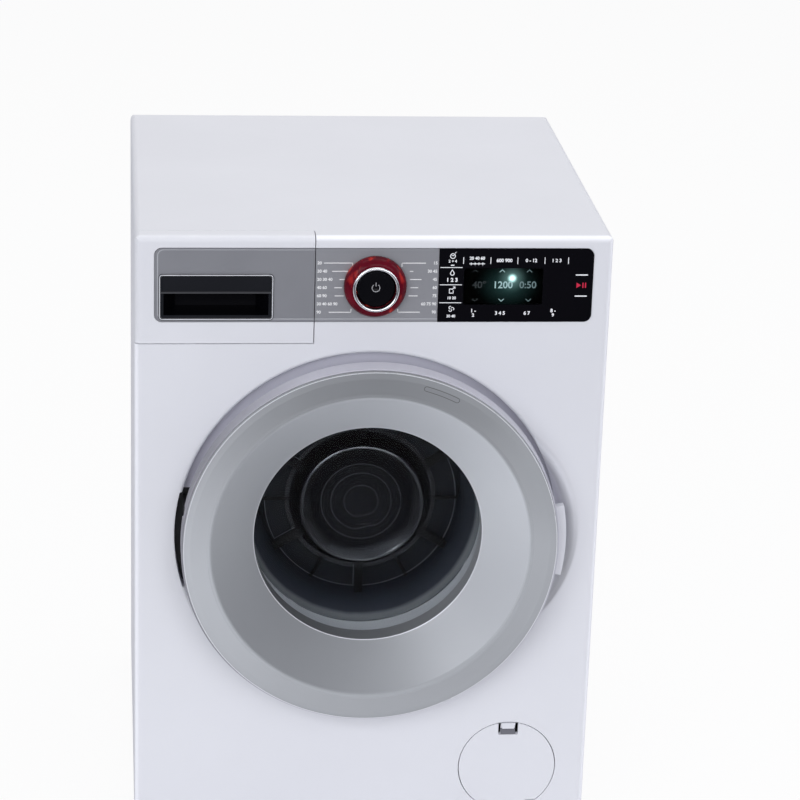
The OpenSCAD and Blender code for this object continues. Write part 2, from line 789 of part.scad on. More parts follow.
module tub() {
    color([0.86, 0.87, 0.88]) difference() {
        union() {
            front_rod(0, door_z, -tub_back - tub_wall, -panel_t, tub_r + tub_wall);
            front_rod(0, door_z, -panel_t - tub_wall, -panel_t, tub_r + 4.5);
            for (a = tub_screw_a)
                front_rod(tub_screw_r * cos(a), door_z + tub_screw_r * sin(a),
                    -panel_t - tub_wall, -panel_t, post_r);
            front_rod(0, door_z, -bush_back, -tub_back - eps, boss_r);
            for (l = leg_places)
                front_rod(l[0] * cos(l[1]), door_z + l[0] * sin(l[1]), -plate_front,
                    -tub_back - eps, post_r - 0.6);
            translate([duct_x, front_y + duct_d, inlet_z - nozzle_l])
                cylinder(r = nozzle_r, h = nozzle_l, $fn = 40);
            translate([outlet_x, front_y + outlet_d, nozzle_z])
                cylinder(r = nozzle_r, h = nozzle_l, $fn = 40);
        }
        front_rod(0, door_z, -tub_back, -panel_t - tub_wall, tub_r);
        front_rod(0, door_z, -panel_t - tub_wall - 1, 0, mouth_r);
        front_rod(0, door_z, -bush_back - 1, -tub_back + 1, bush_out + 0.01);
        for (a = tub_screw_a)
            front_rod(tub_screw_r * cos(a), door_z + tub_screw_r * sin(a),
                -panel_t - tub_wall - 1, 0, pass_r);
        for (l = leg_places)
            front_rod(l[0] * cos(l[1]), door_z + l[0] * sin(l[1]), -plate_front - 1,
                -plate_front + screw_l, pilot_r);
        translate([duct_x, front_y + duct_d, door_z])
            cylinder(r = nozzle_r - nozzle_wall, h = inlet_z - door_z + 1, $fn = 40);
        translate([outlet_x, front_y + outlet_d, nozzle_z - 1])
            cylinder(r = nozzle_r - nozzle_wall, h = door_z - nozzle_z, $fn = 40);
    }
}

module tub_screws() {
    color(steel_c) for (a = tub_screw_a)
        on_front(tub_screw_r * cos(a), door_z + tub_screw_r * sin(a))
            translate([0, 0, -panel_t - tub_wall]) rotate([180, 0, 0]) screw(6);
}

module bearing_bush() {
    color(brass_c) difference() {
        union() {
            front_rod(0, door_z, -bush_back, -tub_back, bush_out);
            front_rod(0, door_z, -bush_back - bush_flange, -bush_back, boss_r - 1);
            front_rod(0, door_z, -tub_back, -tub_back + bush_flange, boss_r - 1);
        }
        front_rod(0, door_z, -bush_back - 3, -tub_back + 3, shaft_r + run);
    }
}

sleeve_r = shaft_r + 3;
hub_t = 1.8;
hub_p = hub_h - drum_back;
hub_groove = 1.1;
// how much wider the drum gets for each millimetre towards its front rim
drum_lean = (drum_r - drum_back_r) / (drum_back - drum_front - 1);

// A rib as high as said, from the hub's flank to the drum's wall
module drum_rib(width, height) {
    rotate([90, 0, 0]) translate([0, 0, -width / 2]) linear_extrude(width)
        polygon([[hub_base_r - 0.9, -drum_back - 0.5], [drum_back_r + 0.8, -drum_back - 0.5],
            [drum_back_r + drum_lean * height + 0.8, height - drum_back],
            [hub_base_r - 0.5 * height - 0.9, height - drum_back]]);
}

module drum() {
    crest_p = hub_p + crest_h;
    foot_p = hub_p - hub_groove - 0.2;
    behind_p = foot_p - hub_t;
    color(smoke_c) difference() {
        union() {
            on_door() rotate_extrude($fn = 128) {
                // flat face, groove, dished rim and flank of the hub
                polygon([[0, hub_p], [hub_r - 0.4, hub_p], [hub_r, hub_p - 0.4], [hub_r, foot_p],
                    [hub_r + hub_groove, foot_p], [crest_r - 1, crest_p - 0.5],
                    [crest_r - 0.5, crest_p - 0.15], [crest_r, crest_p],
                    [crest_r + 0.5, crest_p - 0.2], [crest_r + 0.9, crest_p - 0.8],
                    [hub_base_r - 0.7, 0.8 - drum_back], [hub_base_r + 0.3, -drum_back],
                    [hub_base_r + 0.3, -drum_back - drum_wall],
                    [hub_base_r - hub_t, -drum_back - drum_wall],
                    [crest_r - 0.9, crest_p - 2.8], [crest_r - 1.7, crest_p - 2.8],
                    [hub_r + hub_groove, behind_p], [0, behind_p]]);
                polygon([[hub_base_r, -drum_back], [drum_back_r, -drum_back],
                    [drum_r, -drum_front - 1], [drum_r + 0.4, -drum_front],
                    [drum_r + 3, -drum_front], [drum_r + 3, -drum_front - drum_wall],
                    [drum_r + drum_wall, -drum_front - drum_wall],
                    [drum_back_r + drum_wall, -drum_back - drum_wall],
                    [hub_base_r, -drum_back - drum_wall]]);
                translate([0, -tub_back + bush_flange + 0.4])
                    square([sleeve_r, tub_back + behind_p + eps - bush_flange - 0.4]);
            }
            for (k = [0:rib_n - 1]) {
                tall = k % 2 == 0;
                on_door() rotate(-90 + k * 360 / rib_n)
                    drum_rib(tall ? rib_w : 0.4 * rib_w, tall ? rib_h : rib_h / 3);
            }
        }
        front_rod(0, door_z, -tub_back - 1, hub_p - hub_t, shaft_r + 0.01);
    }
}

module drum_shaft() {
    color(steel_c) difference() {
        front_rod(0, door_z, -gear_back - 3, hub_p - hub_t, shaft_r);
        front_tube(0, door_z, -gear_back - 1.5, -gear_back - 0.3, shaft_r + 1, shaft_r - 0.5);
    }
}

// Outline of a gear with involute flanks; thin is how much each tooth is thinned for backlash
function involute(base, r) = let (t = sqrt(max(0, pow(r / base, 2) - 1))) t * 180 / PI - atan(t);
module gear_outline(teeth, thin) {
    pitch = gear_m * teeth / 2;
    base = pitch * cos(20);
    tip = pitch + 0.85 * gear_m;
    root = pitch - 1.2 * gear_m;
    half = 90 / teeth - thin / pitch * 90 / PI + involute(base, pitch);
    steps = [for (k = [0:4]) max(base, root) + (tip - max(base, root)) * k / 4];
    function at(r, a) = [r * cos(a), r * sin(a)];
    polygon([for (k = [0:teeth - 1]) let (mid = k * 360 / teeth) each concat(
        [at(root, mid - half - 0.1)],
        [for (r = steps) at(r, mid - half + involute(base, r))],
        [for (i = [4:-1:0]) at(steps[i], mid + half - involute(base, steps[i]))],
        [at(root, mid + half + 0.1)])]);
}

module drum_gear() {
    color(white_c) difference() {
        union() {
            on_door() translate([0, 0, -gear_back]) linear_extrude(gear_t)
                gear_outline(gear_teeth, 0.12);
            front_rod(0, door_z, -gear_back, -gear_front, sleeve_r + 2);
        }
        front_rod(0, door_z, -gear_back - 1, -gear_front + 1, shaft_r + 0.01);
        for (a = [30:60:330])
            front_rod(0.6 * gear_m * gear_teeth / 2 * cos(a),
                door_z + 0.6 * gear_m * gear_teeth / 2 * sin(a), -gear_back - 1, -gear_front + 1,
                gear_m * gear_teeth / 12);
    }
}

module shaft_clip() {
    color(steel_c) on_door() translate([0, 0, -gear_back - 1.4]) linear_extrude(1) difference() {
        circle(shaft_r + 2);
        circle(shaft_r - 0.45);
        translate([shaft_r + 2, 0]) square([2 * shaft_r + 2, shaft_r * 1.2], center = true);
    }
}

motor_shaft_r = 1;
module motor_pinion() {
    color(brass_c) difference() {
        on_front(motor_x, motor_z) translate([0, 0, -gear_back - 0.5]) linear_extrude(gear_t + 1)
            rotate(pinion_turn) gear_outline(pinion_teeth, 0.12);
        front_rod(motor_x, motor_z, -gear_back - 2, -gear_front + 1, motor_shaft_r + 0.01);
    }
}
// Turns the pinion so that one of its gaps faces the drum gear's tooth at the motor's angle
tooth_off = motor_angle - round(motor_angle * gear_teeth / 360) * 360 / gear_teeth;
pinion_turn = motor_angle + 180 + 180 / pinion_teeth + tooth_off * gear_teeth / pinion_teeth;

module motor_shaft() {
    color(steel_c) front_rod(motor_x, motor_z, -plate_front - 3, -gear_front - 0.5, motor_shaft_r);
}

motor_front = plate_front + bracket_t;
motor_flat = 9.5;
motor_screw_d = 7.5;
module motor() {
    color(steel_c) difference() {
        union() {
            intersection() {
                front_rod(motor_x, motor_z, -motor_front - motor_l, -motor_front, motor_r);
                on_front(motor_x, motor_z) rotate(motor_angle)
                    cube([4 * motor_r, 2 * motor_flat, 3 * motor_front + 2 * motor_l],
                        center = true);
            }
            front_rod(motor_x, motor_z, -motor_front - motor_l - 2, -motor_front - motor_l + eps,
                3);
        }
        front_rod(motor_x, motor_z, -motor_front - 6, -motor_front + 1, motor_shaft_r + run);
        for (s = [-1, 1]) on_front(motor_x, motor_z) rotate(motor_angle)
            translate([s * motor_screw_d, 0, -motor_front - 5])
                cylinder(r = pilot_r, h = 6, $fn = 32);
    }
}

module motor_bracket() {
    color(steel_c) difference() {
        on_front(0, door_z) translate([0, 0, -motor_front]) linear_extrude(bracket_t) {
            translate([motor_x, motor_z - door_z]) circle(motor_r + 1);
            for (l = leg_places) {
                leg = [l[0] * cos(l[1]), l[0] * sin(l[1])];
                away = leg - [motor_x, motor_z - door_z];
                translate(leg) circle(post_r - 0.6, $fn = 40);
                translate([motor_x, motor_z - door_z]) rotate(atan2(away[1], away[0]))
                    translate([0, -post_r + 0.6]) square([norm(away), 2 * post_r - 1.2]);
            }
        }
        front_rod(motor_x, motor_z, -motor_front - 1, -plate_front + 1, 3);
        for (l = leg_places)
            front_rod(l[0] * cos(l[1]), door_z + l[0] * sin(l[1]), -motor_front - 1,
                -plate_front + 1, pass_r);
        for (s = [-1, 1]) on_front(motor_x, motor_z) rotate(motor_angle)
            translate([s * motor_screw_d, 0, -motor_front - 1])
                cylinder(r = pass_r, h = bracket_t + 2, $fn = 32);
    }
}

module motor_screws() {
    color(steel_c) {
        for (l = leg_places)
            on_front(l[0] * cos(l[1]), door_z + l[0] * sin(l[1]))
                translate([0, 0, -motor_front]) rotate([180, 0, 0]) screw(bracket_t + 6);
        for (s = [-1, 1]) on_front(motor_x, motor_z) rotate(motor_angle)
            translate([s * motor_screw_d, 0, -plate_front]) screw(bracket_t + 4);
    }
}

// ---------- control panel ----------

module control_plate() {
    color(plate_c) difference() {
        front_box([drawer_x + seam, band_z - band_h / 2 + 0.15, -pocket],
            [display_x - 0.1, band_z + band_h / 2 - 0.15, plate_t - pocket]);
        front_rod(0, knob_z, -pocket - 1, 2, knob_bore);
    }
}

window_x = display_x + 9.7 + window_w / 2;
window_z = body_h - 19.9;
panel_proud = plate_t - pocket + 0.2;
module display_outline() {
    intersection() {
        rounded(band_w - 0.3, band_h - 0.3, band_r);
        translate([display_x, -band_h]) square([band_w, 2 * band_h]);
    }
}
module display_panel() {
    color(black_c) difference() {
        on_front(0, band_z) translate([0, 0, -pocket]) linear_extrude(pocket + panel_proud)
            display_outline();
        on_front(window_x, window_z) translate([0, 0, -pocket - 1])
            linear_extrude(pocket + panel_proud + 2) rounded(window_w, window_h, 0.8);
    }
}

module display_window() {
    color([0.20, 0.24, 0.26, 0.45]) on_front(window_x, window_z) translate([0, 0, -pocket])
        linear_extrude(pocket + panel_proud - 0.05)
        rounded(window_w - 0.2, window_h - 0.2, 0.7);
}

card_t = 0.5;
module display_card() {
    color(smoke_c) front_box([window_x - window_w / 2 - 3, window_z - window_h / 2 - 0.8, -pocket],
        [window_x + window_w / 2 + 12, window_z + window_h / 2 + 0.8, -pocket - card_t]);
}

led_r = 2.5;
led_x = display_x + 28.8;
led_h = 8.6;
module display_led() {
    color([0.8, 0.95, 1, 0.7]) {
        front_rod(led_x, window_z + 3, -board_depth, -board_depth + 1, led_r + 0.4);
        front_rod(led_x, window_z + 3, -board_depth + 1, -board_depth + led_h - led_r, led_r);
        intersection() {
            on_front(led_x, window_z + 3) translate([0, 0, -board_depth + led_h - led_r])
                sphere(led_r, $fn = 48);
            front_box([0, 0, -board_depth + led_h - led_r], [body_w, body_h, 0]);
        }
    }
}

board_t = 1.6;
module circuit_board() {
    color(green_c) difference() {
        union() {
            front_box([board_x[0], body_h - board_drop[1], -board_depth],
                [board_x[1], body_h - board_drop[0], -board_depth - board_t]);
            // chips as [place from the display's left edge, side, height]
            for (c = [[-12, 8, 3], [15, 14, 2.2], [40, 6, 4]])
                front_box([display_x + c[0], window_z - c[1] / 2, -board_depth - board_t + eps],
                    [display_x + c[0] + c[1], window_z + c[1] / 2, -board_depth - board_t - c[2]]);
        }
        for (b = board_post)
            front_rod(b[0], body_h - b[1], -board_depth - board_t - 1, 0, pass_r);
    }
}

module board_screws() {
    color(steel_c) for (b = board_post)
        on_front(b[0], body_h - b[1]) translate([0, 0, -board_depth - board_t])
            rotate([180, 0, 0]) screw(8);
}

stem_end = -11.6;
module push_switch() {
    color(black_c) {
        front_box([-3, knob_z - 3, -board_depth], [3, knob_z + 3, -board_depth + 3.5]);
        front_rod(0, knob_z, -board_depth + 3.5 - eps, stem_end, 1.7);
    }
}

dial_sleeve = -6;
dial_flange = 1.3;
flange_p = -wall - 0.3;
module dial_ring() {
    bore = button_r + 0.35;
    sleeve = knob_bore - run;
    base_p = 0.5;
    steps = 9;
    color(red_c) on_front(0, knob_z) rotate_extrude($fn = 96) polygon(concat(
        [[bore, dial_sleeve], [sleeve, dial_sleeve], [sleeve + dial_flange, flange_p - dial_flange],
            [sleeve + dial_flange, flange_p], [sleeve, flange_p], [sleeve, base_p]],
        [for (k = [0:steps]) [trim_r + (knob_r - trim_r) * cos(90 * k / steps),
            base_p + 0.5 + (knob_h - base_p - 0.5) * sin(90 * k / steps)]],
        [[trim_r + 0.03, knob_h - 1.4], [bore, knob_h - 1.4]]));
}

module dial_trim() {
    low = button_r + 0.4;
    mid = (low + trim_r) / 2;
    bead = (trim_r - low) / 2;
    color(chrome_c) on_front(0, knob_z) rotate_extrude($fn = 96) {
        translate([low, knob_h - 1.4]) square([trim_r - low, 1.4 + 0.3]);
        translate([mid, knob_h + 0.3]) circle(bead, $fn = 48);
    }
}

// Leaf spring that rests close to the flange of the dial's sleeve
module dial_click_spring() {
    leaf_z = knob_z - knob_bore + run - dial_flange - 0.3;
    color(steel_c) {
        front_box([-6, leaf_z - 3, -wall], [6, leaf_z, -wall - 0.6]);
        front_box([-2, leaf_z - 0.6, -wall - 0.6 + eps], [2, leaf_z, dial_sleeve - 1]);
    }
}

module push_button() {
    stem_p = stem_end + button_travel + 0.1;
    dish = 60;
    color(black_c) difference() {
        on_front(0, knob_z) rotate_extrude($fn = 96) polygon([
            [0, knob_h - 0.6], [button_r - 0.6, knob_h - 0.6], [button_r, knob_h - 1.2],
            [button_r, dial_sleeve - 0.1], [button_r + 1, dial_sleeve - 0.2],
            [button_r + 1, dial_sleeve - 1.2], [2.6, dial_sleeve - 1.2], [2.6, stem_p],
            [0, stem_p]]);
        on_front(0, knob_z) translate([0, 0, knob_h - 0.6 - 0.45 + dish])
            sphere(dish, $fn = 360);
    }
}

// ---------- detergent drawer ----------

tray_x0 = cup_x - 22.8;
tray_x1 = drawer_x - 6.6;
tray_z0 = drawer_z + 2.6;
tray_z1 = body_h - 10;
tray_front = cup_d + 2.6;
tray_l = drawer_travel + tray_keep;
tray_screw_z = tray_z0 + 4.5;

module drawer_front() {
    back_p = -front_wrap + fit;
    color(white_c) difference() {
        intersection() {
            body_block(front_y, front_y + front_wrap, true, false);
            front_box([-body_w, drawer_z, 1], [drawer_x, body_h + 1, back_p]);
        }
        front_box([-inner_w / 2, drawer_z - 1, -wall], [drawer_x + 1, body_h - wall, -body_d]);
        on_front(0, band_z) translate([0, 0, -pocket]) linear_extrude(pocket + 1)
            rounded(band_w, band_h, band_r);
        front_box([cup_x - cup_w / 2 - fit, cup_z - cup_h / 2 - fit, 1],
            [cup_x + cup_w / 2 + fit, cup_z + cup_h / 2 + fit, -wall - 1]);
        for (x = drawer_screw_x)
            front_rod(x, tray_screw_z, -wall - 1, -wall + 1.2, pilot_r);
    }
}

module drawer_plate() {
    color(plate_c) difference() {
        intersection() {
            on_front(0, band_z) translate([0, 0, -pocket]) linear_extrude(plate_t)
                rounded(band_w - 0.3, band_h - 0.3, band_r);
            front_box([-body_w, 0, 2], [drawer_x, body_h, -2]);
        }
        front_box([cup_x - cup_w / 2 - fit, cup_z - cup_h / 2 - fit, 2],
            [cup_x + cup_w / 2 + fit, cup_z + cup_h / 2 + fit, -2]);
    }
}

cup_wall = 1.2;
cup_slope = 4.6;
cup_rise = 1.2;
bar_t = 2.6;
bar_z = cup_z + cup_h / 2 - cup_wall - bar_h;
module drawer_handle_cup() {
    half = cup_w / 2 - cup_wall;
    floor_p = cup_wall - cup_d;
    bar = bar_z - cup_z;
    low = cup_wall - cup_h / 2;
    color(black_c) difference() {
        front_box([cup_x - cup_w / 2, cup_z - cup_h / 2, plate_t - pocket],
            [cup_x + cup_w / 2, cup_z + cup_h / 2, -cup_d]);
        // the hollow that fingers reach into: its sides and floor slope, and it is higher
        // behind the bar
        intersection() {
            on_front(cup_x, cup_z) rotate([90, 0, 0]) linear_extrude(cup_h, center = true)
                polygon([[-half, 1], [-half, -0.6], [cup_slope - half, floor_p],
                    [half - cup_slope, floor_p], [half, -0.6], [half, 1]]);
            on_front(cup_x, cup_z) rotate([0, -90, 0]) linear_extrude(cup_w, center = true)
                polygon([[1, low], [-0.6, low], [floor_p, low + cup_rise],
                    [floor_p, cup_h / 2 - cup_wall], [plate_t - pocket - bar_t,
                    cup_h / 2 - cup_wall], [plate_t - pocket - bar_t, bar], [1, bar]]);
        }
    }
}

module drawer_handle_trim() {
    rim = 0.7;
    low_p = plate_t - pocket;
    color(chrome_c) {
        difference() {
            on_front(cup_x, cup_z) translate([0, 0, low_p]) linear_extrude(0.5)
                rounded(cup_w + 2 * rim, cup_h + 2 * rim, 1.4);
            on_front(cup_x, cup_z) translate([0, 0, low_p - 1]) linear_extrude(3)
                rounded(cup_w - 0.4, cup_h - 0.4, 1.1);
        }
        front_box([cup_x - cup_w / 2 + eps, bar_z, low_p], [cup_x + cup_w / 2 - eps, bar_z + 0.7,
            low_p + 0.5]);
    }
}

divider_n = 2;
module drawer_tray() {
    back_p = -wall - tray_l;
    inner = tray_x1 - tray_x0 - 2 * tray_wall;
    color(grey_c) difference() {
        front_box([tray_x0, tray_z0, -wall], [tray_x1, tray_z1, back_p]);
        // compartments behind the handle cup
        for (k = [0:divider_n]) {
            cell = (inner - divider_n * tray_wall) / (divider_n + 1);
            x0 = tray_x0 + tray_wall + k * (cell + tray_wall);
            front_box([x0, tray_z0 + tray_wall, -tray_front - tray_wall],
                [x0 + cell, tray_z1 + 1, back_p + tray_wall]);
        }
        // room for the handle cup
        front_box([tray_x0 + tray_wall - 1, cup_z - cup_h / 2 - 0.3, 0],
            [tray_x1 - tray_wall, tray_z1 + 1, -tray_front]);
        for (x = drawer_screw_x)
            front_rod(x, tray_screw_z, -tray_front - tray_wall - 1, 0, pass_r);
        // outlet for the water
        translate([duct_x - 3, front_y + duct_d, tray_z0 - 1]) cylinder(r = 2, h = 5, $fn = 32);
    }
}

drawer_screw_x = [tray_x0 + 12, tray_x1 - 12];
module drawer_screws() {
    color(steel_c) for (x = drawer_screw_x)
        on_front(x, tray_screw_z) translate([0, 0, -tray_front - tray_wall]) rotate([180, 0, 0])
            screw(tray_front + tray_wall - wall + 1);
}

house_z0 = tray_z0 - tray_gap;
module drawer_housing() {
    front_p = shelf_p - wall;
    back_p = -wall - tray_l - tray_gap;
    x0 = tray_x0 - tray_gap;
    x1 = tray_x1 + tray_gap;
    color(grey_c) difference() {
        union() {
            difference() {
                front_box([x0 - tray_wall, house_z0 - tray_wall, front_p],
                    [x1 + tray_wall, tray_z1 + tray_gap, back_p - tray_wall]);
                front_box([x0, house_z0, 0], [x1, tray_z1 + 2, back_p]);
            }
            // lips over the tray's sides that keep it level
            for (s = [0, 1])
                front_box([s == 0 ? x0 - tray_wall : x1 - 1.2, tray_z1 + tray_gap - eps, front_p],
                    [s == 0 ? x0 + 1.2 : x1 + tray_wall, tray_z1 + tray_gap + 1.2,
                    back_p - tray_wall]);
            translate([duct_x, front_y + duct_d, house_z0 - tray_wall - 6])
                cylinder(r = nozzle_r, h = 6 + eps, $fn = 40);
        }
        translate([duct_x, front_y + duct_d, house_z0 - tray_wall - 7])
            cylinder(r = nozzle_r - nozzle_wall, h = 10, $fn = 40);
    }
}

module water_duct() {
    bore = nozzle_r + 0.05;
    inner_x = abs(duct_x) - bore - nozzle_wall;
    z0 = door_z + sqrt(pow(tub_r + tub_wall, 2) - inner_x * inner_x) + fit;
    z1 = house_z0 - tray_wall - 1;
    color(grey_c) translate([duct_x, front_y + duct_d, z0]) difference() {
        cylinder(r = bore + nozzle_wall, h = z1 - z0, $fn = 48);
        translate([0, 0, -1]) cylinder(r = bore, h = z1 - z0 + 2, $fn = 48);
    }
}

// ---------- service flap and drain ----------

module service_flap() {
    lip = 0.35;
    notch_h = 5.5;
    tongue = notch_w - 2.2;
    barrel_z = flap_z - flap_hinge_drop;
    color(white_c) difference() {
        union() {
            on_front(flap_x, flap_z) translate([0, 0, -flap_t]) linear_extrude(flap_t)
                flap_outline(0);
            translate([flap_x - flap_barrel_w / 2, front_y + flap_barrel_r, barrel_z])
                rotate([0, 90, 0]) cylinder(r = flap_barrel_r, h = flap_barrel_w, $fn = 40);
        }
        // finger notch with its sloped floor
        translate([flap_x - notch_w / 2, front_y, flap_z + flap_r]) rotate([90, 0, 90])
            linear_extrude(notch_w) polygon([[-1, 1], [-1, -notch_h], [0.1, -notch_h],
                [flap_t * 0.8, -3.2], [flap_t * 0.8, 1]]);
        for (s = [-1, 1])
            on_front(flap_x + s * (notch_w / 2 - 0.55), flap_z + flap_r - notch_h / 2 + 0.3)
                cube([1.1, notch_h, 3 * flap_t], center = true);
        translate([flap_x - body_w, front_y + flap_barrel_r, barrel_z]) rotate([0, 90, 0])
            cylinder(r = flap_pin_r + run, h = 2 * body_w, $fn = 32);
    }
    // snap tongue at the top of the notch
    color(white_c) on_front(flap_x, flap_z + flap_r) translate([0, 0, -flap_t])
        linear_extrude(flap_t - lip) polygon([[-tongue / 2, -0.5], [0.6 - tongue / 2, -3],
            [tongue / 2 - 0.6, -3], [tongue / 2, -0.5]]);
}

module flap_pin() {
    reach = flap_barrel_w / 2 + seam + flap_lug_w;
    color(steel_c) translate([flap_x - reach, front_y + flap_barrel_r, flap_z - flap_hinge_drop])
        rotate([0, 90, 0]) cylinder(r = flap_pin_r, h = 2 * reach, $fn = 32);
}

neck_r = 7;
neck_p = -15;
cap_p = -12;
module drain_cup() {
    cup_in = flap_r + 3.6;
    color(grey_c) difference() {
        union() {
            front_tube(flap_x, flap_z, -drain_depth, -wall, cup_in + tray_wall, cup_in);
            front_rod(flap_x, flap_z, -drain_depth - tray_wall, -drain_depth, cup_in + tray_wall);
            front_rod(flap_x, flap_z, -drain_depth - eps, neck_p, neck_r);
            front_rod(flap_x, flap_z, -drain_depth - tray_wall - 8, -drain_depth, nozzle_r);
        }
        front_rod(flap_x, flap_z, -drain_depth - 20, 0, nozzle_r - nozzle_wall);
    }
}

module drain_cap() {
    skirt = neck_r + run;
    color(smoke_c) difference() {
        union() {
            front_rod(flap_x, flap_z, -drain_depth + 1.5, cap_p, drain_r);
            front_box([flap_x - drain_r + 1.5, flap_z - 1.6, cap_p - 1],
                [flap_x + drain_r - 1.5, flap_z + 1.6, cap_p + 5]);
        }
        front_rod(flap_x, flap_z, -drain_depth, neck_p + 0.1, skirt);
    }
}

// A cubic curve through its end points, and a tube swept along it
function bend(p, t) = pow(1 - t, 3) * p[0] + 3 * pow(1 - t, 2) * t * p[1]
    + 3 * (1 - t) * t * t * p[2] + t * t * t * p[3];
function unit(v) = v / norm(v);
module swept(p, r, rings, sides) {
    up = [0.31, 0.52, 0.79];
    function spine(k) = bend(p, k / rings);
    function run_dir(k) = unit(bend(p, min(1, k / rings + 0.01)) - bend(p, max(0, k / rings - 0.01)));
    points = [for (k = [0:rings]) let (d = run_dir(k), u = unit(cross(d, up)), v = cross(d, u))
        for (a = [0:sides - 1]) spine(k) + r * (cos(360 * a / sides) * u
            + sin(360 * a / sides) * v)];
    walls = [for (k = [0:rings - 1], a = [0:sides - 1]) let (b = (a + 1) % sides)
        [k * sides + a, k * sides + b, (k + 1) * sides + b, (k + 1) * sides + a]];
    polyhedron(points, concat([[for (a = [sides - 1:-1:0]) a]], walls,
        [[for (a = [0:sides - 1]) rings * sides + a]]), convexity = 6);
}

module drain_hose() {
    hose_end = drain_depth + tray_wall + 8;
    color(rubber_c) translate([0, front_y, 0]) swept([
        [outlet_x, outlet_d, nozzle_z],
        [outlet_x, outlet_d, flap_z - 4],
        [flap_x, hose_end + 42, flap_z],
        [flap_x, hose_end, flap_z]], nozzle_r, 24, 12);
}

// ---------- battery box, loudspeaker and wiring ----------

box_wall = 1.6;
box_low = battery_z + 6.5;
box_high = box_low + 6 * cell_r;
box_back = back_y - wall;
cover_screw_z = battery_top - 4.2;
tab_gap = 0.2;
tab_t = 1.5;
tab_top = 2;
module battery_box() {
    half = battery_w / 2 - 4;
    color(black_c) difference() {
        union() {
            translate([-half - box_wall, box_back - battery_d, box_low - box_wall])
                cube([2 * (half + box_wall), battery_d, box_high - box_low + 2 * box_wall]);
            // post for the cover's screw
            translate([0, box_back - 0.2, cover_screw_z]) rotate([90, 0, 0])
                cylinder(r = post_r, h = battery_d - 1, $fn = 40);
            // flanges that carry the box on the rear cover
            for (s = [-1, 1])
                translate([s > 0 ? half + box_wall - eps : -battery_w / 2 - 7,
                    box_back - 2, box_low]) cube([battery_w / 2 + 7 - half - box_wall, 2,
                    box_high - box_low]);
        }
        translate([-half, box_back - battery_d + box_wall, box_low])
            cube([2 * half, battery_d + 1, box_high - box_low]);
        translate([0, box_back + 1, cover_screw_z]) rotate([90, 0, 0])
            cylinder(r = screw_r + 0.6, h = 8, $fn = 32);
    }
}

contact_t = 0.6;
module battery_contacts() {
    half = battery_w / 2 - 4;
    color(chrome_c) for (k = [0:2]) {
        z = box_low + 2 * cell_r * (k + 0.5);
        y = box_back - battery_d + box_wall + cell_r + 0.5;
        for (s = [-1, 1])
            translate([s > 0 ? half - contact_t : -half, y - 5, z - 5])
                cube([contact_t, 10, 10]);
        translate([(k % 2 == 0 ? 1 : -1) * (half - contact_t - 2.5) - 2.5, y, z])
            rotate([0, 90, 0]) cylinder(r1 = k % 2 == 0 ? 1.6 : 3.4, r2 = k % 2 == 0 ? 3.4 : 1.6,
                h = 5, $fn = 40);
    }
}

module battery_cover() {
    color(white_c) difference() {
        union() {
            translate([-battery_w / 2, back_y - wall, battery_z])
                cube([battery_w, wall, battery_h]);
            // tabs that hook behind the rear cover
            for (s = [-1, 1])
                translate([s * battery_w / 4 - 5, box_back - tab_gap - tab_t, battery_z]) {
                    translate([0, 0, -cover_lip]) cube([10, tab_t, cover_lip + tab_top]);
                    translate([0, 0, 0.3]) cube([10, tab_t + tab_gap + eps, tab_top - 0.3]);
                }
        }
        translate([0, back_y + 1, cover_screw_z]) rotate([90, 0, 0]) {
            cylinder(r = pass_r, h = wall + 2, $fn = 32);
            cylinder(r = screw_head_r + 0.4, h = 1 + screw_head_h, $fn = 40);
        }
        // finger grooves
        for (k = [-2:2])
            translate([k * 4 - 0.8, back_y - 0.6, battery_top - 20]) cube([1.6, 1, 9]);
    }
}

module battery_cover_screw() {
    color(steel_c) translate([0, back_y, cover_screw_z]) rotate([-90, 0, 0])
        translate([0, 0, -screw_head_h]) screw(wall - screw_head_h + 3);
}

module loudspeaker() {
    color(black_c) translate([0, box_back, speaker_z]) rotate([90, 0, 0]) difference() {
        union() {
            cylinder(r = speaker_r, h = 2.4);
            translate([0, 0, 2.4 - eps]) cylinder(r1 = speaker_r - 2, r2 = speaker_r / 2, h = 6);
            cylinder(r = speaker_r / 2, h = 13);
        }
        translate([0, 0, -1]) cylinder(r = speaker_r - 3, h = 1.6);
    }
}

wire_r = 1.6;
module wiring() {
    box_d = body_d - wall - battery_d;
    board_back = board_depth + board_t;
    color(red_c) translate([0, front_y, 0]) {
        swept([[-24, box_d + 6, box_high + box_wall], [-24, box_d + 6, body_h - 70],
            [0, board_back + 60, body_h - 30], [0, board_back, body_h - 30]],
            wire_r, 30, 8);
        swept([[motor_x + 6, motor_front + motor_l, motor_z],
            [motor_x + 6, motor_front + motor_l + 45, motor_z],
            [display_x - 3, board_back + 70, body_h - board_drop[1] + 4],
            [display_x - 3, board_back, body_h - board_drop[1] + 4]],
            wire_r, 30, 8);
    }
}

cabinet_shell();
front_panel();
rear_cover();
base_plate();
feet();
base_screws();
rear_screws();
door_ring();
door_casing();
door_window();
door_hinge_bracket();
door_hinge_pin();
hinge_screws();
door_catch();
door_seal();
tub();
tub_screws();
bearing_bush();
drum();
drum_shaft();
drum_gear();
shaft_clip();
motor_pinion();
motor_shaft();
motor();
motor_bracket();
motor_screws();
control_plate();
display_panel();
display_window();
display_card();
display_led();
circuit_board();
board_screws();
push_switch();
dial_ring();
dial_trim();
dial_click_spring();
push_button();
drawer_front();
drawer_plate();
drawer_handle_cup();
drawer_handle_trim();
drawer_tray();
drawer_screws();
drawer_housing();
water_duct();
service_flap();
flap_pin();
drain_cup();
drain_cap();
drain_hose();
battery_box();
battery_contacts();
battery_cover();
battery_cover_screw();
loudspeaker();
wiring();
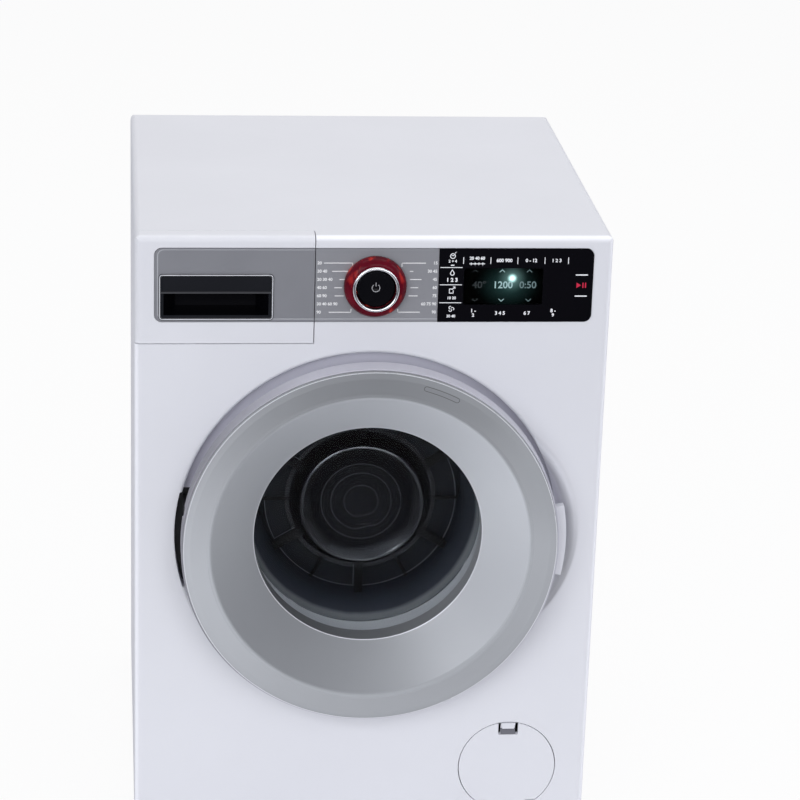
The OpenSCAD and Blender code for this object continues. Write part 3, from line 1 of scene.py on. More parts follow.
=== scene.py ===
"""Looks of the toy washing machine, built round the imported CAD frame. Lengths are in metres."""
import math

import bmesh
import bpy
from mathutils import Matrix, Vector

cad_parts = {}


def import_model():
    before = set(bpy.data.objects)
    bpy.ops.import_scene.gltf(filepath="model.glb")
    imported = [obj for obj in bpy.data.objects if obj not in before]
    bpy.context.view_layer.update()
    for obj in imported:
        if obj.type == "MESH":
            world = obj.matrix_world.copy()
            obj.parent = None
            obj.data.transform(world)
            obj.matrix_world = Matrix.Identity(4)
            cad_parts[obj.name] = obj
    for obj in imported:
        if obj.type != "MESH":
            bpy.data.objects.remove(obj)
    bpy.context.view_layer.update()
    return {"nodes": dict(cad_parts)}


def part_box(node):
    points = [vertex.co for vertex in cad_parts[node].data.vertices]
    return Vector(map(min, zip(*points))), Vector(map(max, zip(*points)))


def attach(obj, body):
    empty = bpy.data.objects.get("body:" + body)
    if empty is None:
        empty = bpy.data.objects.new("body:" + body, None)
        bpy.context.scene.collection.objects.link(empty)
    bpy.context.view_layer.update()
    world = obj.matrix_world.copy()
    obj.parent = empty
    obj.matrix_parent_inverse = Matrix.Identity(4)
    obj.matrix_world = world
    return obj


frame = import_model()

MM = 0.001
scene = bpy.context.scene
nodes = frame["nodes"]

# ---------- places taken from the frame ----------


def middle(node):
    """The middle of a CAD node's box."""
    low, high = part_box(node)
    return (low + high) / 2


FRONT_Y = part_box("front_panel")[0].y
TOP_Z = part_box("cabinet_shell")[1].z
DOOR = middle("door_ring")
DIAL = middle("dial_ring")
PLATE_LOW, PLATE_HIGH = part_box("control_plate")
PANEL_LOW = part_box("display_panel")[0]
DRAWER_LOW, DRAWER_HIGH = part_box("drawer_plate")
LED = middle("display_led")
RING_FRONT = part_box("door_ring")[0].y


def off_axis(point, axis=DOOR):
    """How far a point lies from the door's axis, or from another that runs to the front."""
    return math.hypot(point.x - axis.x, point.z - axis.z)


RING_POINTS = [v.co for v in nodes["door_ring"].data.vertices]
# where the ring's flat band ends and its cone begins, and where the cone meets the opening
BEVEL_R = min(off_axis(co) for co in RING_POINTS if co.y < RING_FRONT + 0.05 * MM)
OPENING_R, OPENING_PROUD = min((off_axis(co), FRONT_Y - co.y) for co in RING_POINTS
                               if co.y < FRONT_Y)
# the drum: the radii of its hub and its rim and those between which its ribs stand, the hub's
# flat face, and the plate behind the ribs
DRUM = nodes["drum"].data
HUB_R = 17.6 * MM
DRUM_R = 47.5 * MM
RIB_IN, RIB_OUT = 30 * MM, 39 * MM
HUB_FACE_Y = min(v.co.y for v in DRUM.vertices if off_axis(v.co) < HUB_R)
DRUM_BACK_Y = max(f.center.y for f in DRUM.polygons
                  if f.normal.y < -0.95 and RIB_IN + MM < off_axis(f.center) < RIB_OUT - MM)
# the recess round the door, and the round painted shade in the finger dish beside it
RECESS_R = 84 * MM
DISH_RIGHT, DISH_DOWN, DISH_R = 34.5 * MM, 6 * MM, 51.5 * MM
# the casing's radius, without its grip
CASING_R = max(off_axis(v.co) for v in nodes["door_casing"].data.vertices if v.co.x < DOOR.x)
SEAL_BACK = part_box("door_seal")[1].y
CUP_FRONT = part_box("drawer_handle_cup")[0].y
FLAP_X = middle("service_flap").x
FLAP_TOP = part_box("service_flap")[1].z


def front(x, z, proud):
    """A point on the front: x across, z up, and how far it stands out from the front plane."""
    return Vector((x, FRONT_Y - proud, z))


# ---------- materials ----------

WHITE = (0.705, 0.712, 0.745)


class Nodes:
    """A short way to build a node tree."""

    def __init__(self, tree):
        self.tree = tree

    def add(self, kind, **settings):
        """Adds a node; settings with a socket's name set its default value."""
        node = self.tree.nodes.new(kind)
        for name, value in settings.items():
            if hasattr(node, name):
                setattr(node, name, value)
            else:
                node.inputs[name.replace("_", " ")].default_value = value
        return node

    def link(self, a, b):
        self.tree.links.new(a, b)

    def noise(self, scale, detail=3.0, stretch=(1, 1, 1)):
        """Noise in the object's own coordinates; scale is in waves per metre."""
        mapping = self.add("ShaderNodeMapping", Scale=stretch)
        self.link(self.place(), mapping.inputs["Vector"])
        noise = self.add("ShaderNodeTexNoise", Scale=scale, Detail=detail)
        self.link(mapping.outputs["Vector"], noise.inputs["Vector"])
        return noise

    def between(self, source, low, high, start=0.3, end=0.7):
        """Maps a value from start..end to low..high."""
        span = self.add("ShaderNodeMapRange")
        for name, value in (("From Min", start), ("From Max", end), ("To Min", low),
                            ("To Max", high)):
            span.inputs[name].default_value = value
        self.link(source, span.inputs["Value"])
        return span.outputs["Result"]

    def ramp(self, source, stops):
        """A colour ramp through stops of (position, colour)."""
        ramp = self.add("ShaderNodeValToRGB")
        elements = ramp.color_ramp.elements
        while len(elements) < len(stops):
            elements.new(0.5)
        for element, (position, colour) in zip(elements, stops):
            element.position = position
            element.color = (*colour, 1)
        self.link(source, ramp.inputs["Fac"])
        return ramp.outputs["Color"]

    def calc(self, operation, *values):
        """One step of arithmetic on outputs and plain numbers."""
        step = self.add("ShaderNodeMath", operation=operation)
        for socket, value in zip(step.inputs, values):
            if isinstance(value, (int, float)):
                socket.default_value = value
            else:
                self.link(value, socket)
        return step.outputs[0]

    def length(self, vector):
        """How long a vector is."""
        far = self.add("ShaderNodeVectorMath", operation="LENGTH")
        self.link(vector, far.inputs[0])
        return far.outputs["Value"]

    def parts(self, vector):
        """The X, Y and Z of a vector."""
        apart = self.add("ShaderNodeSeparateXYZ")
        self.link(vector, apart.inputs[0])
        return apart.outputs

    def place(self, kind="Object"):
        """Where a point lies in the object's own frame, or its direction for the world."""
        return self.add("ShaderNodeTexCoord").outputs[kind]

    def blend(self, factor, first, colour):
        """Goes from what makes the first colour to a plain second one."""
        mix = self.add("ShaderNodeMix", data_type="RGBA")
        self.link(factor, mix.inputs["Factor"])
        self.link(first, mix.inputs[6])
        mix.inputs[7].default_value = (*colour, 1)
        return mix.outputs[2]

    def scale(self, source, factor):
        """Multiplies a colour or a vector by a value."""
        scaled = self.add("ShaderNodeVectorMath", operation="SCALE")
        if isinstance(source, tuple):
            scaled.inputs[0].default_value = source
        else:
            self.link(source, scaled.inputs[0])
        self.link(factor, scaled.inputs["Scale"])
        return scaled.outputs["Vector"]


def principled(material):
    """The shader that a new material starts with."""
    return material.node_tree.nodes["Principled BSDF"]


def shade(colour, factor):
    """A colour made darker or paler."""
    return tuple(min(1.0, c * factor) for c in colour)


def finish(name, colour, rough, vary=0.02, rough_vary=0.04, grain=1400.0, bump=0.02, bump_mm=0.02,
           stretch=(1, 1, 1), cloud=18.0, **sockets):
    """A surface with a slightly uneven colour and gloss and a fine texture. Other keywords set
    the Principled shader's own sockets."""
    material = bpy.data.materials.new(name)
    material.use_nodes = True
    tree = Nodes(material.node_tree)
    shader = principled(material)
    for socket, value in sockets.items():
        shader.inputs[socket.replace("_", " ")].default_value = value
    cloudy = tree.noise(cloud, 4.0)
    tree.link(tree.ramp(cloudy.outputs["Fac"], ((0.3, shade(colour, 1 - vary)),
                                                (0.7, shade(colour, 1 + vary)))),
              shader.inputs["Base Color"])
    smudge = tree.noise(cloud * 3.1, 5.0, stretch)
    tree.link(tree.between(smudge.outputs["Fac"], rough - rough_vary, rough + rough_vary),
              shader.inputs["Roughness"])
    fine = tree.noise(grain, 2.0, stretch)
    relief = tree.add("ShaderNodeBump", Strength=bump, Distance=bump_mm * MM)
    tree.link(fine.outputs["Fac"], relief.inputs["Height"])
    tree.link(relief.outputs["Normal"], shader.inputs["Normal"])
    return material


def with_painted_glow(name, colour, strength, base=(0.02, 0.02, 0.02)):
    """Printed or lit marks with a painted glow: they shine a little, though no lamp is in them."""
    material = finish(name, base, 0.35)
    shader = principled(material)
    shader.inputs["Emission Color"].default_value = (*colour, 1)
    shader.inputs["Emission Strength"].default_value = strength
    return material


def white_plastic(name):
    """The body's plain white."""
    return finish(name, WHITE, 0.46, vary=0.012, rough_vary=0.05, bump=0.05, grain=2600.0,
                  Specular_IOR_Level=0.28)


def plate_paint(name, colour):
    """Satin silver paint of the flat plates."""
    return finish(name, colour, 0.38, vary=0.02, rough_vary=0.03, bump=0.1, grain=5200.0,
                  Metallic=0.45)


MATERIALS = {
    "white": white_plastic("white_plastic"),
    "white_matte": finish("white_matte_plastic", shade(WHITE, 0.97), 0.52, vary=0.02, bump=0.25,
                          grain=2200.0, bump_mm=0.05),
    "plate": plate_paint("plate_paint", (0.285, 0.29, 0.312)),
    # the control plate's paint is paler: a painted reflection
    "plate_painted_reflection": plate_paint("plate_paint_painted_reflection", (0.325, 0.33, 0.352)),
    "bar_black": finish("bar_black", (0.010, 0.011, 0.014), 0.18, vary=0.1, bump=0.03,
                        Specular_IOR_Level=0.3),
    "chrome": finish("chrome_trim", (0.80, 0.81, 0.83), 0.14, vary=0.01, rough_vary=0.03,
                     bump=0.02, Metallic=1.0),
    "black": finish("black_gloss", (0.0022, 0.0020, 0.0034), 0.12, vary=0.2, rough_vary=0.03,
                    bump=0.02, Specular_IOR_Level=0.15),
    "recess_black": finish("black_satin", (0.0022, 0.0022, 0.0034), 0.22, vary=0.15, bump=0.08,
                           grain=3000.0, Specular_IOR_Level=0.12),
    "dark": finish("dark_plastic", (0.012, 0.012, 0.014), 0.45, vary=0.1, bump=0.15, grain=2600.0),
    "rubber": finish("black_rubber", (0.02, 0.02, 0.021), 0.62, vary=0.1, bump=0.3, grain=1800.0,
                     bump_mm=0.06),
    "seal": finish("grey_rubber", (0.80, 0.80, 0.80), 0.42, vary=0.04, bump=0.15, grain=1500.0,
                   bump_mm=0.05),
    "grey": finish("grey_plastic", (0.52, 0.53, 0.56), 0.42, vary=0.02, bump=0.15, grain=2200.0,
                   bump_mm=0.04),
    "steel": finish("zinc_steel", (0.50, 0.51, 0.53), 0.28, vary=0.06, rough_vary=0.08, bump=0.1,
                    grain=2400.0, Metallic=1.0),
    "brass": finish("brass", (0.62, 0.43, 0.17), 0.25, vary=0.05, rough_vary=0.06, bump=0.08,
                    grain=1800.0, Metallic=1.0),
    "board": finish("circuit_board_green", (0.012, 0.10, 0.045), 0.35, vary=0.12, bump=0.2,
                    grain=700.0, bump_mm=0.05),
    "wire": finish("red_wire", (0.36, 0.012, 0.012), 0.42, vary=0.08, bump=0.1, grain=2000.0),
    "dark_trim": finish("dark_trim", (0.045, 0.046, 0.050), 0.22, vary=0.03, bump=0.03),
    "mark": finish("white_print", (0.80, 0.80, 0.80), 0.5, vary=0.03, bump=0.1, grain=3000.0),
    # the panel's print has a painted glow
    "panel_mark": with_painted_glow("panel_print_painted_glow", (0.9, 0.92, 0.95), 0.28, base=(0.62, 0.63, 0.65)),
    "dim_mark": finish("dim_print", (0.05, 0.058, 0.06), 0.4, vary=0.1, bump=0.05),
    # the red print has a painted glow
    "red_mark": with_painted_glow("red_print_painted_glow", (0.75, 0.02, 0.09), 0.30, base=(0.35, 0.01, 0.03)),
    "groove": finish("groove_shadow", (0.085, 0.085, 0.09), 0.5, vary=0.05, bump=0.05),
    "notch_grey": finish("notch_grey", (0.13, 0.13, 0.15), 0.6, vary=0.1, bump=0.1),
    # painted shade for the drum's ribs
    "rib_painted_shade": finish("rib_painted_shade", (0.0015, 0.0015, 0.002), 0.16, vary=0.1, bump=0.04,
                        Specular_IOR_Level=0.2),
    # a painted sheen for the handle's chrome rim
    "pale_line_painted_sheen": finish("pale_line_painted_sheen", (0.66, 0.67, 0.70), 0.25, vary=0.04, bump=0.03),
    "drum_line": finish("drum_line", (0.030, 0.031, 0.034), 0.30, vary=0.1, bump=0.05),
    # painted highlights for edges inside the drum
    "drum_painted_highlight": finish("drum_painted_highlight", (0.10, 0.105, 0.115), 0.25, vary=0.05),
    # painted highlights for the plates' raised borders
    "painted_highlight_line": finish("painted_highlight_line", (0.50, 0.51, 0.54), 0.35, vary=0.03),
    # painted highlights for the silver ring's edges
    "edge_painted_highlight": finish("edge_painted_highlight", (0.72, 0.73, 0.76), 0.3, vary=0.03, Metallic=0.2),
    "button_mark": finish("button_print", (0.30, 0.30, 0.31), 0.45, vary=0.05),
    # the display's digits have a painted glow
    "lit_digit": with_painted_glow("lit_digit", (0.62, 0.90, 0.94), 0.60),
    "soft_digit": with_painted_glow("soft_digit", (0.42, 0.62, 0.66), 0.34),
}


def glass(name, colour, rough, ior, bump=0.01):
    """Clear moulded plastic with a faintly uneven surface."""
    return finish(name, colour, rough, vary=0.01, rough_vary=0.008, grain=60.0, bump=bump,
                  bump_mm=0.05, Transmission_Weight=1.0, IOR=ior)


def red_dial():
    """Deep red translucent plastic with painted glints: orange glow in patches under its surface.
    """
    material = finish("red_translucent", (0.105, 0.004, 0.012), 0.10, vary=0.35, rough_vary=0.03,
                      bump=0.03, grain=400.0, cloud=90.0, Specular_IOR_Level=0.06,
                      Coat_Weight=0.03, Coat_Roughness=0.04)
    tree = Nodes(material.node_tree)
    shader = principled(material)
    # painted glints: orange glow in patches
    painted_glints = tree.noise(260.0, 3.0, (1, 1, 0.35))
    tree.link(tree.between(painted_glints.outputs["Fac"], 0.0, 1.0, 0.58, 0.80),
              shader.inputs["Emission Strength"])
    shader.inputs["Emission Color"].default_value = (0.55, 0.035, 0.014, 1)
    return material


def centred(tree, right=0.0, drop=0.0):
    """A place's offset from the door's and the drum's common axis, or from a line beside it."""
    shift = tree.add("ShaderNodeMapping", Scale=(1, 0, 1),
                     Location=(-DOOR.x - right, 0, drop - DOOR.z))
    tree.link(tree.place(), shift.inputs["Vector"])
    return shift.outputs["Vector"]


def from_axis(tree, right=0.0, drop=0.0):
    """How far a place lies from that axis or line."""
    return tree.length(centred(tree, right, drop))


def sides(tree):
    """Which side of the axis a place lies on: -1 to 1 from left to right and from low to high."""
    way = tree.add("ShaderNodeVectorMath", operation="NORMALIZE")
    tree.link(centred(tree), way.inputs[0])
    parts = tree.parts(way.outputs["Vector"])
    return parts["X"], parts["Z"]


def weighted(tree, level, *terms):
    """A level plus each value times its weight."""
    for value, weight in terms:
        level = tree.calc("MULTIPLY_ADD", value, weight, level)
    return level


def scaled_colour(tree, socket, factor):
    """Multiplies what feeds a colour socket by a value."""
    tree.link(tree.scale(socket.links[0].from_socket, factor), socket)


def silver_with_painted_shade(name, rough, **sockets):
    """Silver paint brushed in circles, with painted light and shade in its colour: paler or darker
    with the side of the ring, the flat band darkest at the top, the cone palest at the top right."""
    material = finish(name, (0.385, 0.398, 0.414), rough, vary=0.02, rough_vary=0.03, bump=0.12,
                      grain=5200.0, Metallic=0.42, **sockets)
    tree = Nodes(material.node_tree)
    brushed = tree.add("ShaderNodeTangent", direction_type="RADIAL", axis="Y")
    tree.link(brushed.outputs["Tangent"], principled(material).inputs["Tangent"])
    across, up = sides(tree)
    # painted light and shade: the band darker at the top, the cone paler at the top right
    band = weighted(tree, 1.07, (tree.calc("MULTIPLY", across, across), 0.15),
                    (tree.calc("MAXIMUM", up, 0.0), -0.30), (across, -0.08))
    cone = weighted(tree, 1.27, (across, 0.33), (up, 0.45))
    inside = tree.between(from_axis(tree), 1.0, 0.0, BEVEL_R - 2.0 * MM, BEVEL_R - 1.0 * MM)
    mix = tree.add("ShaderNodeMix", data_type="FLOAT")
    tree.link(inside, mix.inputs[0])
    tree.link(band, mix.inputs[2])
    tree.link(cone, mix.inputs[3])
    scaled_colour(tree, principled(material).inputs["Base Color"], mix.outputs[0])
    return material


def casing_painted_shade():
    """The casing's side: a painted shade of lavender white, darker still towards the left."""
    material = finish("white_shaded_plastic", (0.56, 0.555, 0.615), 0.5, vary=0.02, bump=0.05,
                      grain=2600.0, Specular_IOR_Level=0.2)
    tree = Nodes(material.node_tree)
    across, _ = sides(tree)
    # painted shade, darker towards the left
    scaled_colour(tree, principled(material).inputs["Base Color"],
                  tree.between(across, 0.5, 1.0, -0.87, -0.35))
    return material


def smoked_drum_painted_light():
    """Dark smoked plastic: almost black at the hub, with painted light that makes the wall paler
    towards the rim, and a painted highlight along the rim's edge."""
    material = finish("smoke_plastic", (0.010, 0.012, 0.016), 0.19, vary=0.12, rough_vary=0.05,
                      bump=0.06, grain=900.0, bump_mm=0.05, Specular_IOR_Level=0.16)
    tree = Nodes(material.node_tree)
    shader = principled(material)
    span = tree.between(from_axis(tree), 0.0, 1.0, 0.0, DRUM_R)
    cloudy = tree.noise(60.0, 3.0)
    uneven = tree.between(cloudy.outputs["Fac"], -0.004, 0.004)
    wavy = tree.calc("ADD", span, uneven)
    # painted light: the wall paler towards the rim; a painted highlight at the rim's edge
    tones = ((0.0, (0.003, 0.003, 0.005)), (0.60, (0.003, 0.003, 0.005)),
             (0.66, (0.006, 0.007, 0.009)), (0.82, (0.008, 0.009, 0.012)),
             (0.86, (0.012, 0.014, 0.019)), (0.965, (0.042, 0.047, 0.057)),
             (0.985, (0.20, 0.205, 0.21)))
    tree.link(tree.ramp(wavy, tones), shader.inputs["Base Color"])
    # the raised lip of the hub is polished
    dull, polished = (0.16, 0.16, 0.16), (1.0, 1.0, 1.0)
    tree.link(tree.ramp(wavy, ((0.42, dull), (0.47, polished), (0.60, polished), (0.66, dull))),
              shader.inputs["Specular IOR Level"])
    return material


def white_with_painted_shade():
    """The front's white plastic, with painted shade that turns it lavender grey where it runs back
    behind the front plane round the door."""
    material = white_plastic("front_white_plastic")
    tree = Nodes(material.node_tree)
    colour = principled(material).inputs["Base Color"]
    depth = tree.calc("SUBTRACT", tree.parts(tree.place())["Y"], FRONT_Y)
    # painted shade where the front runs back round the door
    recess_painted_shade = tree.between(depth, 0.0, 1.0, 1.6 * MM, 4.0 * MM)
    near_door = tree.between(from_axis(tree), 1.0, 0.0, RECESS_R, RECESS_R + 2 * MM)
    tree.link(tree.blend(tree.calc("MULTIPLY", recess_painted_shade, near_door), colour.links[0].from_socket,
                         (0.55, 0.545, 0.62)), colour)
    # painted shade in the inner part of the finger dish
    inner = tree.between(from_axis(tree, DISH_RIGHT, DISH_DOWN), 1.0, 0.0,
                         DISH_R - 4.5 * MM, DISH_R)
    sunk = tree.between(depth, 0.0, 1.0, 0.02 * MM, 0.15 * MM)
    slope = tree.between(depth, 1.0, 0.05, 0.8 * MM, 2.8 * MM)
    dish = tree.calc("MULTIPLY", tree.calc("MULTIPLY", inner, sunk), slope)
    scaled_colour(tree, colour, weighted(tree, 1.0, (dish, -0.42)))
    # a painted highlight makes the rounded edge of the recess paler
    rise = tree.between(depth, 0.0, 1.0, 0.05 * MM, 0.5 * MM)
    fall = tree.between(depth, 1.0, 0.0, 1.5 * MM, 2.6 * MM)
    scaled_colour(tree, colour, weighted(tree, 1.0, (tree.calc("MULTIPLY", rise, fall), 0.24)))
    return material


def display_painted_glow():
    """The dark card behind the window, with a painted glow: a teal field and a bright spot where
    the lamp would shine, given off by the card itself.
    """
    material = finish("display_card_painted_glow", (0.004, 0.006, 0.007), 0.4)
    tree = Nodes(material.node_tree)
    shader = principled(material)

    def painted_glow_blob(x, z, size_x, size_z, peak, colour):
        """A colour that is brightest at its centre and ends at an ellipse round it."""
        shift = tree.add("ShaderNodeMapping", vector_type="TEXTURE", Location=(x, 0, z),
                         Scale=(size_x, 1e3, size_z))
        tree.link(tree.place(), shift.inputs["Vector"])
        near = tree.between(tree.length(shift.outputs["Vector"]), peak, 0.0, 0.0, 1.0)
        return tree.scale(colour, tree.calc("POWER", near, 2.0))

    # painted glow of the lamp's light on the card
    total = painted_glow_blob(LED.x - 1.5 * MM, LED.z - 2.5 * MM, 14 * MM, 11 * MM, 1.0, (0.024, 0.062, 0.060))
    for size, peak, colour in ((6.5 * MM, 1.0, (0.17, 0.29, 0.28)),
                               (2.3 * MM, 1.9, (0.62, 0.98, 0.95))):
        join = tree.add("ShaderNodeVectorMath", operation="ADD")
        tree.link(total, join.inputs[0])
        tree.link(painted_glow_blob(LED.x, LED.z, size, size, peak, colour), join.inputs[1])
        total = join.outputs[0]
    tree.link(total, shader.inputs["Emission Color"])
    shader.inputs["Emission Strength"].default_value = 1.0
    return material


MATERIALS.update(
    window=glass("clear_window", (0.86, 0.89, 0.92), 0.015, 1.12, 0.003),
    screen=glass("screen_window", (0.80, 0.86, 0.86), 0.03, 1.16),
    lamp=glass("lamp_epoxy", (0.85, 0.95, 1.0), 0.2, 1.5),
    red=red_dial(),
    silver=silver_with_painted_shade("silver_paint", 0.42, Anisotropic=0.6),
    silver_foot=silver_with_painted_shade("silver_paint_foot", 0.8),
    white_shade=casing_painted_shade(),
    smoke=smoked_drum_painted_light(),
    front_white=white_with_painted_shade(),
    card=display_painted_glow(),
)

NODE_FINISH = {
    "front_white": ["front_panel"],
    "white": ["cabinet_shell", "door_casing", "drawer_front", "service_flap", "door_catch"],
    "white_matte": ["rear_cover", "base_plate", "battery_cover", "drum_gear"],
    "rubber": ["feet", "drain_hose"],
    "steel": ["base_screws", "rear_screws", "door_hinge_pin", "hinge_screws", "tub_screws",
              "drum_shaft", "shaft_clip", "motor_shaft", "motor", "motor_bracket", "motor_screws",
              "board_screws", "dial_click_spring", "drawer_screws", "flap_pin",
              "battery_cover_screw", "battery_contacts"],
    "silver": ["door_ring"],
    "plate": ["drawer_plate"],
    "plate_painted_reflection": ["control_plate"],
    "window": ["door_window"],
    "screen": ["display_window"],
    "lamp": ["display_led"],
    "card": ["display_card"],
    "black": ["display_panel"],
    "recess_black": ["drawer_handle_cup", "push_button"],
    "dark": ["door_hinge_bracket", "push_switch", "battery_box", "loudspeaker", "drain_cap"],
    "chrome": ["dial_trim"],
    "dark_trim": ["drawer_handle_trim"],
    "red": ["dial_ring"],
    "smoke": ["drum"],
    "seal": ["door_seal", "water_duct"],
    "grey": ["tub", "drawer_tray", "drawer_housing", "drain_cup"],
    "brass": ["bearing_bush", "motor_pinion"],
    "board": ["circuit_board"],
    "wire": ["wiring"],
}

for key, names in NODE_FINISH.items():
    for name in names:
        mesh = nodes[name].data
        mesh.materials.clear()
        mesh.materials.append(MATERIALS[key])


def soften(node, width):
    """Takes the sharpness off a node's edges, so that they catch the light."""
    bevel = nodes[node].modifiers.new("soft_edges", "BEVEL")
    bevel.width = width
    bevel.segments = 2
    bevel.limit_method = "ANGLE"
    bevel.angle_limit = math.radians(35)


soften("drum", 0.25 * MM)


def repaint(node, material, chosen):
    """Gives a node's chosen faces a second material."""
    mesh = nodes[node].data
    mesh.materials.append(MATERIALS[material])
    for f in mesh.polygons:
        if chosen(f):
            f.material_index = 1


def on_rib(f):
    """Painted shade makes the drum's ribs black: the faces that stand up from its back plate."""
    return (RIB_IN < off_axis(f.center) < RIB_OUT
            and DRUM_BACK_Y - 4 * MM < f.center.y < DRUM_BACK_Y - 0.5 * MM)


def on_foot(f):
    """The rounding between the ring's flat band and its cone is duller than both."""
    return (BEVEL_R - 2.0 * MM < off_axis(f.center) < BEVEL_R - 0.05 * MM
            and f.center.y < RING_FRONT + 0.8 * MM and f.normal.y < -0.5)


def on_bead(f):
    """Painted shade: the back of the seal's bead is dark where it meets the drum's rim."""
    return f.center.y > SEAL_BACK - 1.3 * MM


def on_bar(f):
    """The bar across the handle is glossier than the cup behind it."""
    return f.normal.y < -0.7 and f.center.y < CUP_FRONT + 2 * MM


def on_casing_side(f):
    """The casing's side, up to its lip, takes a painted shade: a slightly darker lavender white
    than the front.
    """
    apart = Vector((f.center.x - DOOR.x, f.center.z - DOOR.z))
    outward = Vector((f.normal.x, f.normal.z)).dot(apart.normalized())
    lip = f.normal.y < -0.7 and f.center.y < RING_FRONT + 3 * MM
    return (outward > 0.9 or lip) and apart.length > CASING_R - 0.6 * MM and f.center.y < FRONT_Y


def in_notch(f):
    """The floor of the flap's finger notch lies in shade: the faces behind the flap's front and
    round its top that face the front."""
    return (FLAP_TOP - f.center.z < 6 * MM and abs(f.center.x - FLAP_X) < 3.2 * MM
            and f.normal.y < -0.2 and f.normal.z > 0.1)


repaint("drum", "rib_painted_shade", on_rib)
repaint("door_ring", "silver_foot", on_foot)
# painted shade on the back of the seal's bead
repaint("door_seal", "dark", on_bead)
repaint("drawer_handle_cup", "bar_black", on_bar)
# painted shade on the casing's side
repaint("door_casing", "white_shade", on_casing_side)
repaint("service_flap", "notch_grey", in_notch)


# ---------- printed and moulded details ----------


PRINT_T = 0.04 * MM
# the height of a digit as a share of its font's size
DIGIT = 0.69
# flat steps in the round end of a line
END_STEPS = 6


class Ink:
    """Collects thin flat shapes on the front plane and turns them into one piece. What another
    surface carries is placed by a function of x, z and how far a point stands out from it."""

    def __init__(self, proud, thick=PRINT_T, at=front):
        self.mesh = bmesh.new()
        self.proud = proud
        self.thick = thick
        self.at = at

    def face(self, outline):
        """A closed prism over a flat outline given as (x, z) points, anticlockwise."""
        low = [self.mesh.verts.new(self.at(x, z, self.proud)) for x, z in outline]
        high = [self.mesh.verts.new(self.at(x, z, self.proud + self.thick)) for x, z in outline]
        self.mesh.faces.new(high)
        self.mesh.faces.new(list(reversed(low)))
        for k in range(len(low)):
            j = (k + 1) % len(low)
            self.mesh.faces.new((low[k], low[j], high[j], high[k]))

    def line(self, points, width):
        """A line of that width through the points, with round ends and joints."""
        half = width / 2
        for (x0, z0), (x1, z1) in zip(points, points[1:]):
            way = math.atan2(z1 - z0, x1 - x0)
            outline = []
            for centre, start in (((x1, z1), way - math.pi / 2), ((x0, z0), way + math.pi / 2)):
                for k in range(END_STEPS + 1):
                    turn = start + math.pi * k / END_STEPS
                    outline.append((centre[0] + half * math.cos(turn),
                                    centre[1] + half * math.sin(turn)))
            self.face(outline)

    def arc(self, x, z, radius, start, end, width, steps=40):
        """A bent bar along part of a circle; a whole turn makes a ring."""
        whole = end - start == 360
        inner, outer = radius - width / 2, radius + width / 2
        count = steps if whole else steps + 1
        rows = []
        for k in range(count):
            turn = math.radians(start + (end - start) * k / steps)
            c, s = math.cos(turn), math.sin(turn)
            rows.append([self.mesh.verts.new(self.at(x + r * c, z + r * s, p))
                         for r, p in ((inner, self.proud), (outer, self.proud),
                                      (outer, self.proud + self.thick),
                                      (inner, self.proud + self.thick))])
        for k in range(steps):
            a, b = rows[k], rows[(k + 1) % count]
            for i in range(4):
                j = (i + 1) % 4
                self.mesh.faces.new((a[i], a[j], b[j], b[i]))
        if not whole:
            self.mesh.faces.new(list(reversed(rows[0])))
            self.mesh.faces.new(rows[-1])

    def text(self, words, x, z, height, align="LEFT", bold=0.0):
        """Plain numbers; height is that of a digit."""
        curve = bpy.data.curves.new("letters", "FONT")
        curve.body = words
        curve.size = height / DIGIT
        curve.align_x = align
        curve.align_y = "CENTER"
        curve.offset = bold
        curve.extrude = self.thick / 2
        curve.resolution_u = 4
        holder = bpy.data.objects.new("letters", curve)
        scene.collection.objects.link(holder)
        bpy.context.view_layer.update()
        made = bpy.data.meshes.new_from_object(holder)
        start = len(self.mesh.verts)
        self.mesh.from_mesh(made)
        self.mesh.verts.ensure_lookup_table()
        for vert in self.mesh.verts[start:]:
            u, v, w = vert.co
            vert.co = self.at(x + u, z + v, self.proud + self.thick / 2 + w)
        bpy.data.objects.remove(holder)
        bpy.data.curves.remove(curve)
        bpy.data.meshes.remove(made)

    def done(self, name, body, material):
        """Makes the piece and lets it ride on a body."""
        bmesh.ops.remove_doubles(self.mesh, verts=self.mesh.verts, dist=1e-7)
        bmesh.ops.recalc_face_normals(self.mesh, faces=self.mesh.faces)
        data = bpy.data.meshes.new(name)
        self.mesh.to_mesh(data)
        self.mesh.free()
        data.materials.append(MATERIALS[material])
        piece = bpy.data.objects.new(name, data)
        scene.collection.objects.link(piece)
        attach(piece, body)


PLATE_PROUD = FRONT_Y - PLATE_LOW.y
PANEL_PROUD = FRONT_Y - PANEL_LOW.y
ROW_TOP = TOP_Z - 10.5 * MM
ROW_STEP = 3.317 * MM
LINE_W = 0.32 * MM

# Programme marks round the dial: plain numbers with leader lines. Each row has its number, the
# leader's two ends, and how far the leader bends towards the dial.
LEFT_ROWS = [("20", 19.8, 8.9, -1.4), ("30 40", 16.6, 10.5, 0), ("20 30 40", 13.7, 11.9, 0),
             ("40 60", 15.6, 12.9, 0), ("60 90", 15.4, 12.1, 0), ("30 40 60 90", 0, 0, 0),
             ("90", 17.6, 9.1, 1.2)]
RIGHT_ROWS = [("15", 19.3, 10.2, -1.4), ("30 45", 14.5, 13.4, 0), ("45", 17.8, 13.6, 0),
              ("60", 16.6, 13.8, 0), ("75", 16.5, 13.2, 0), ("60 75 90", 0, 0, 0),
              ("90", 17.6, 9.1, 1.2)]


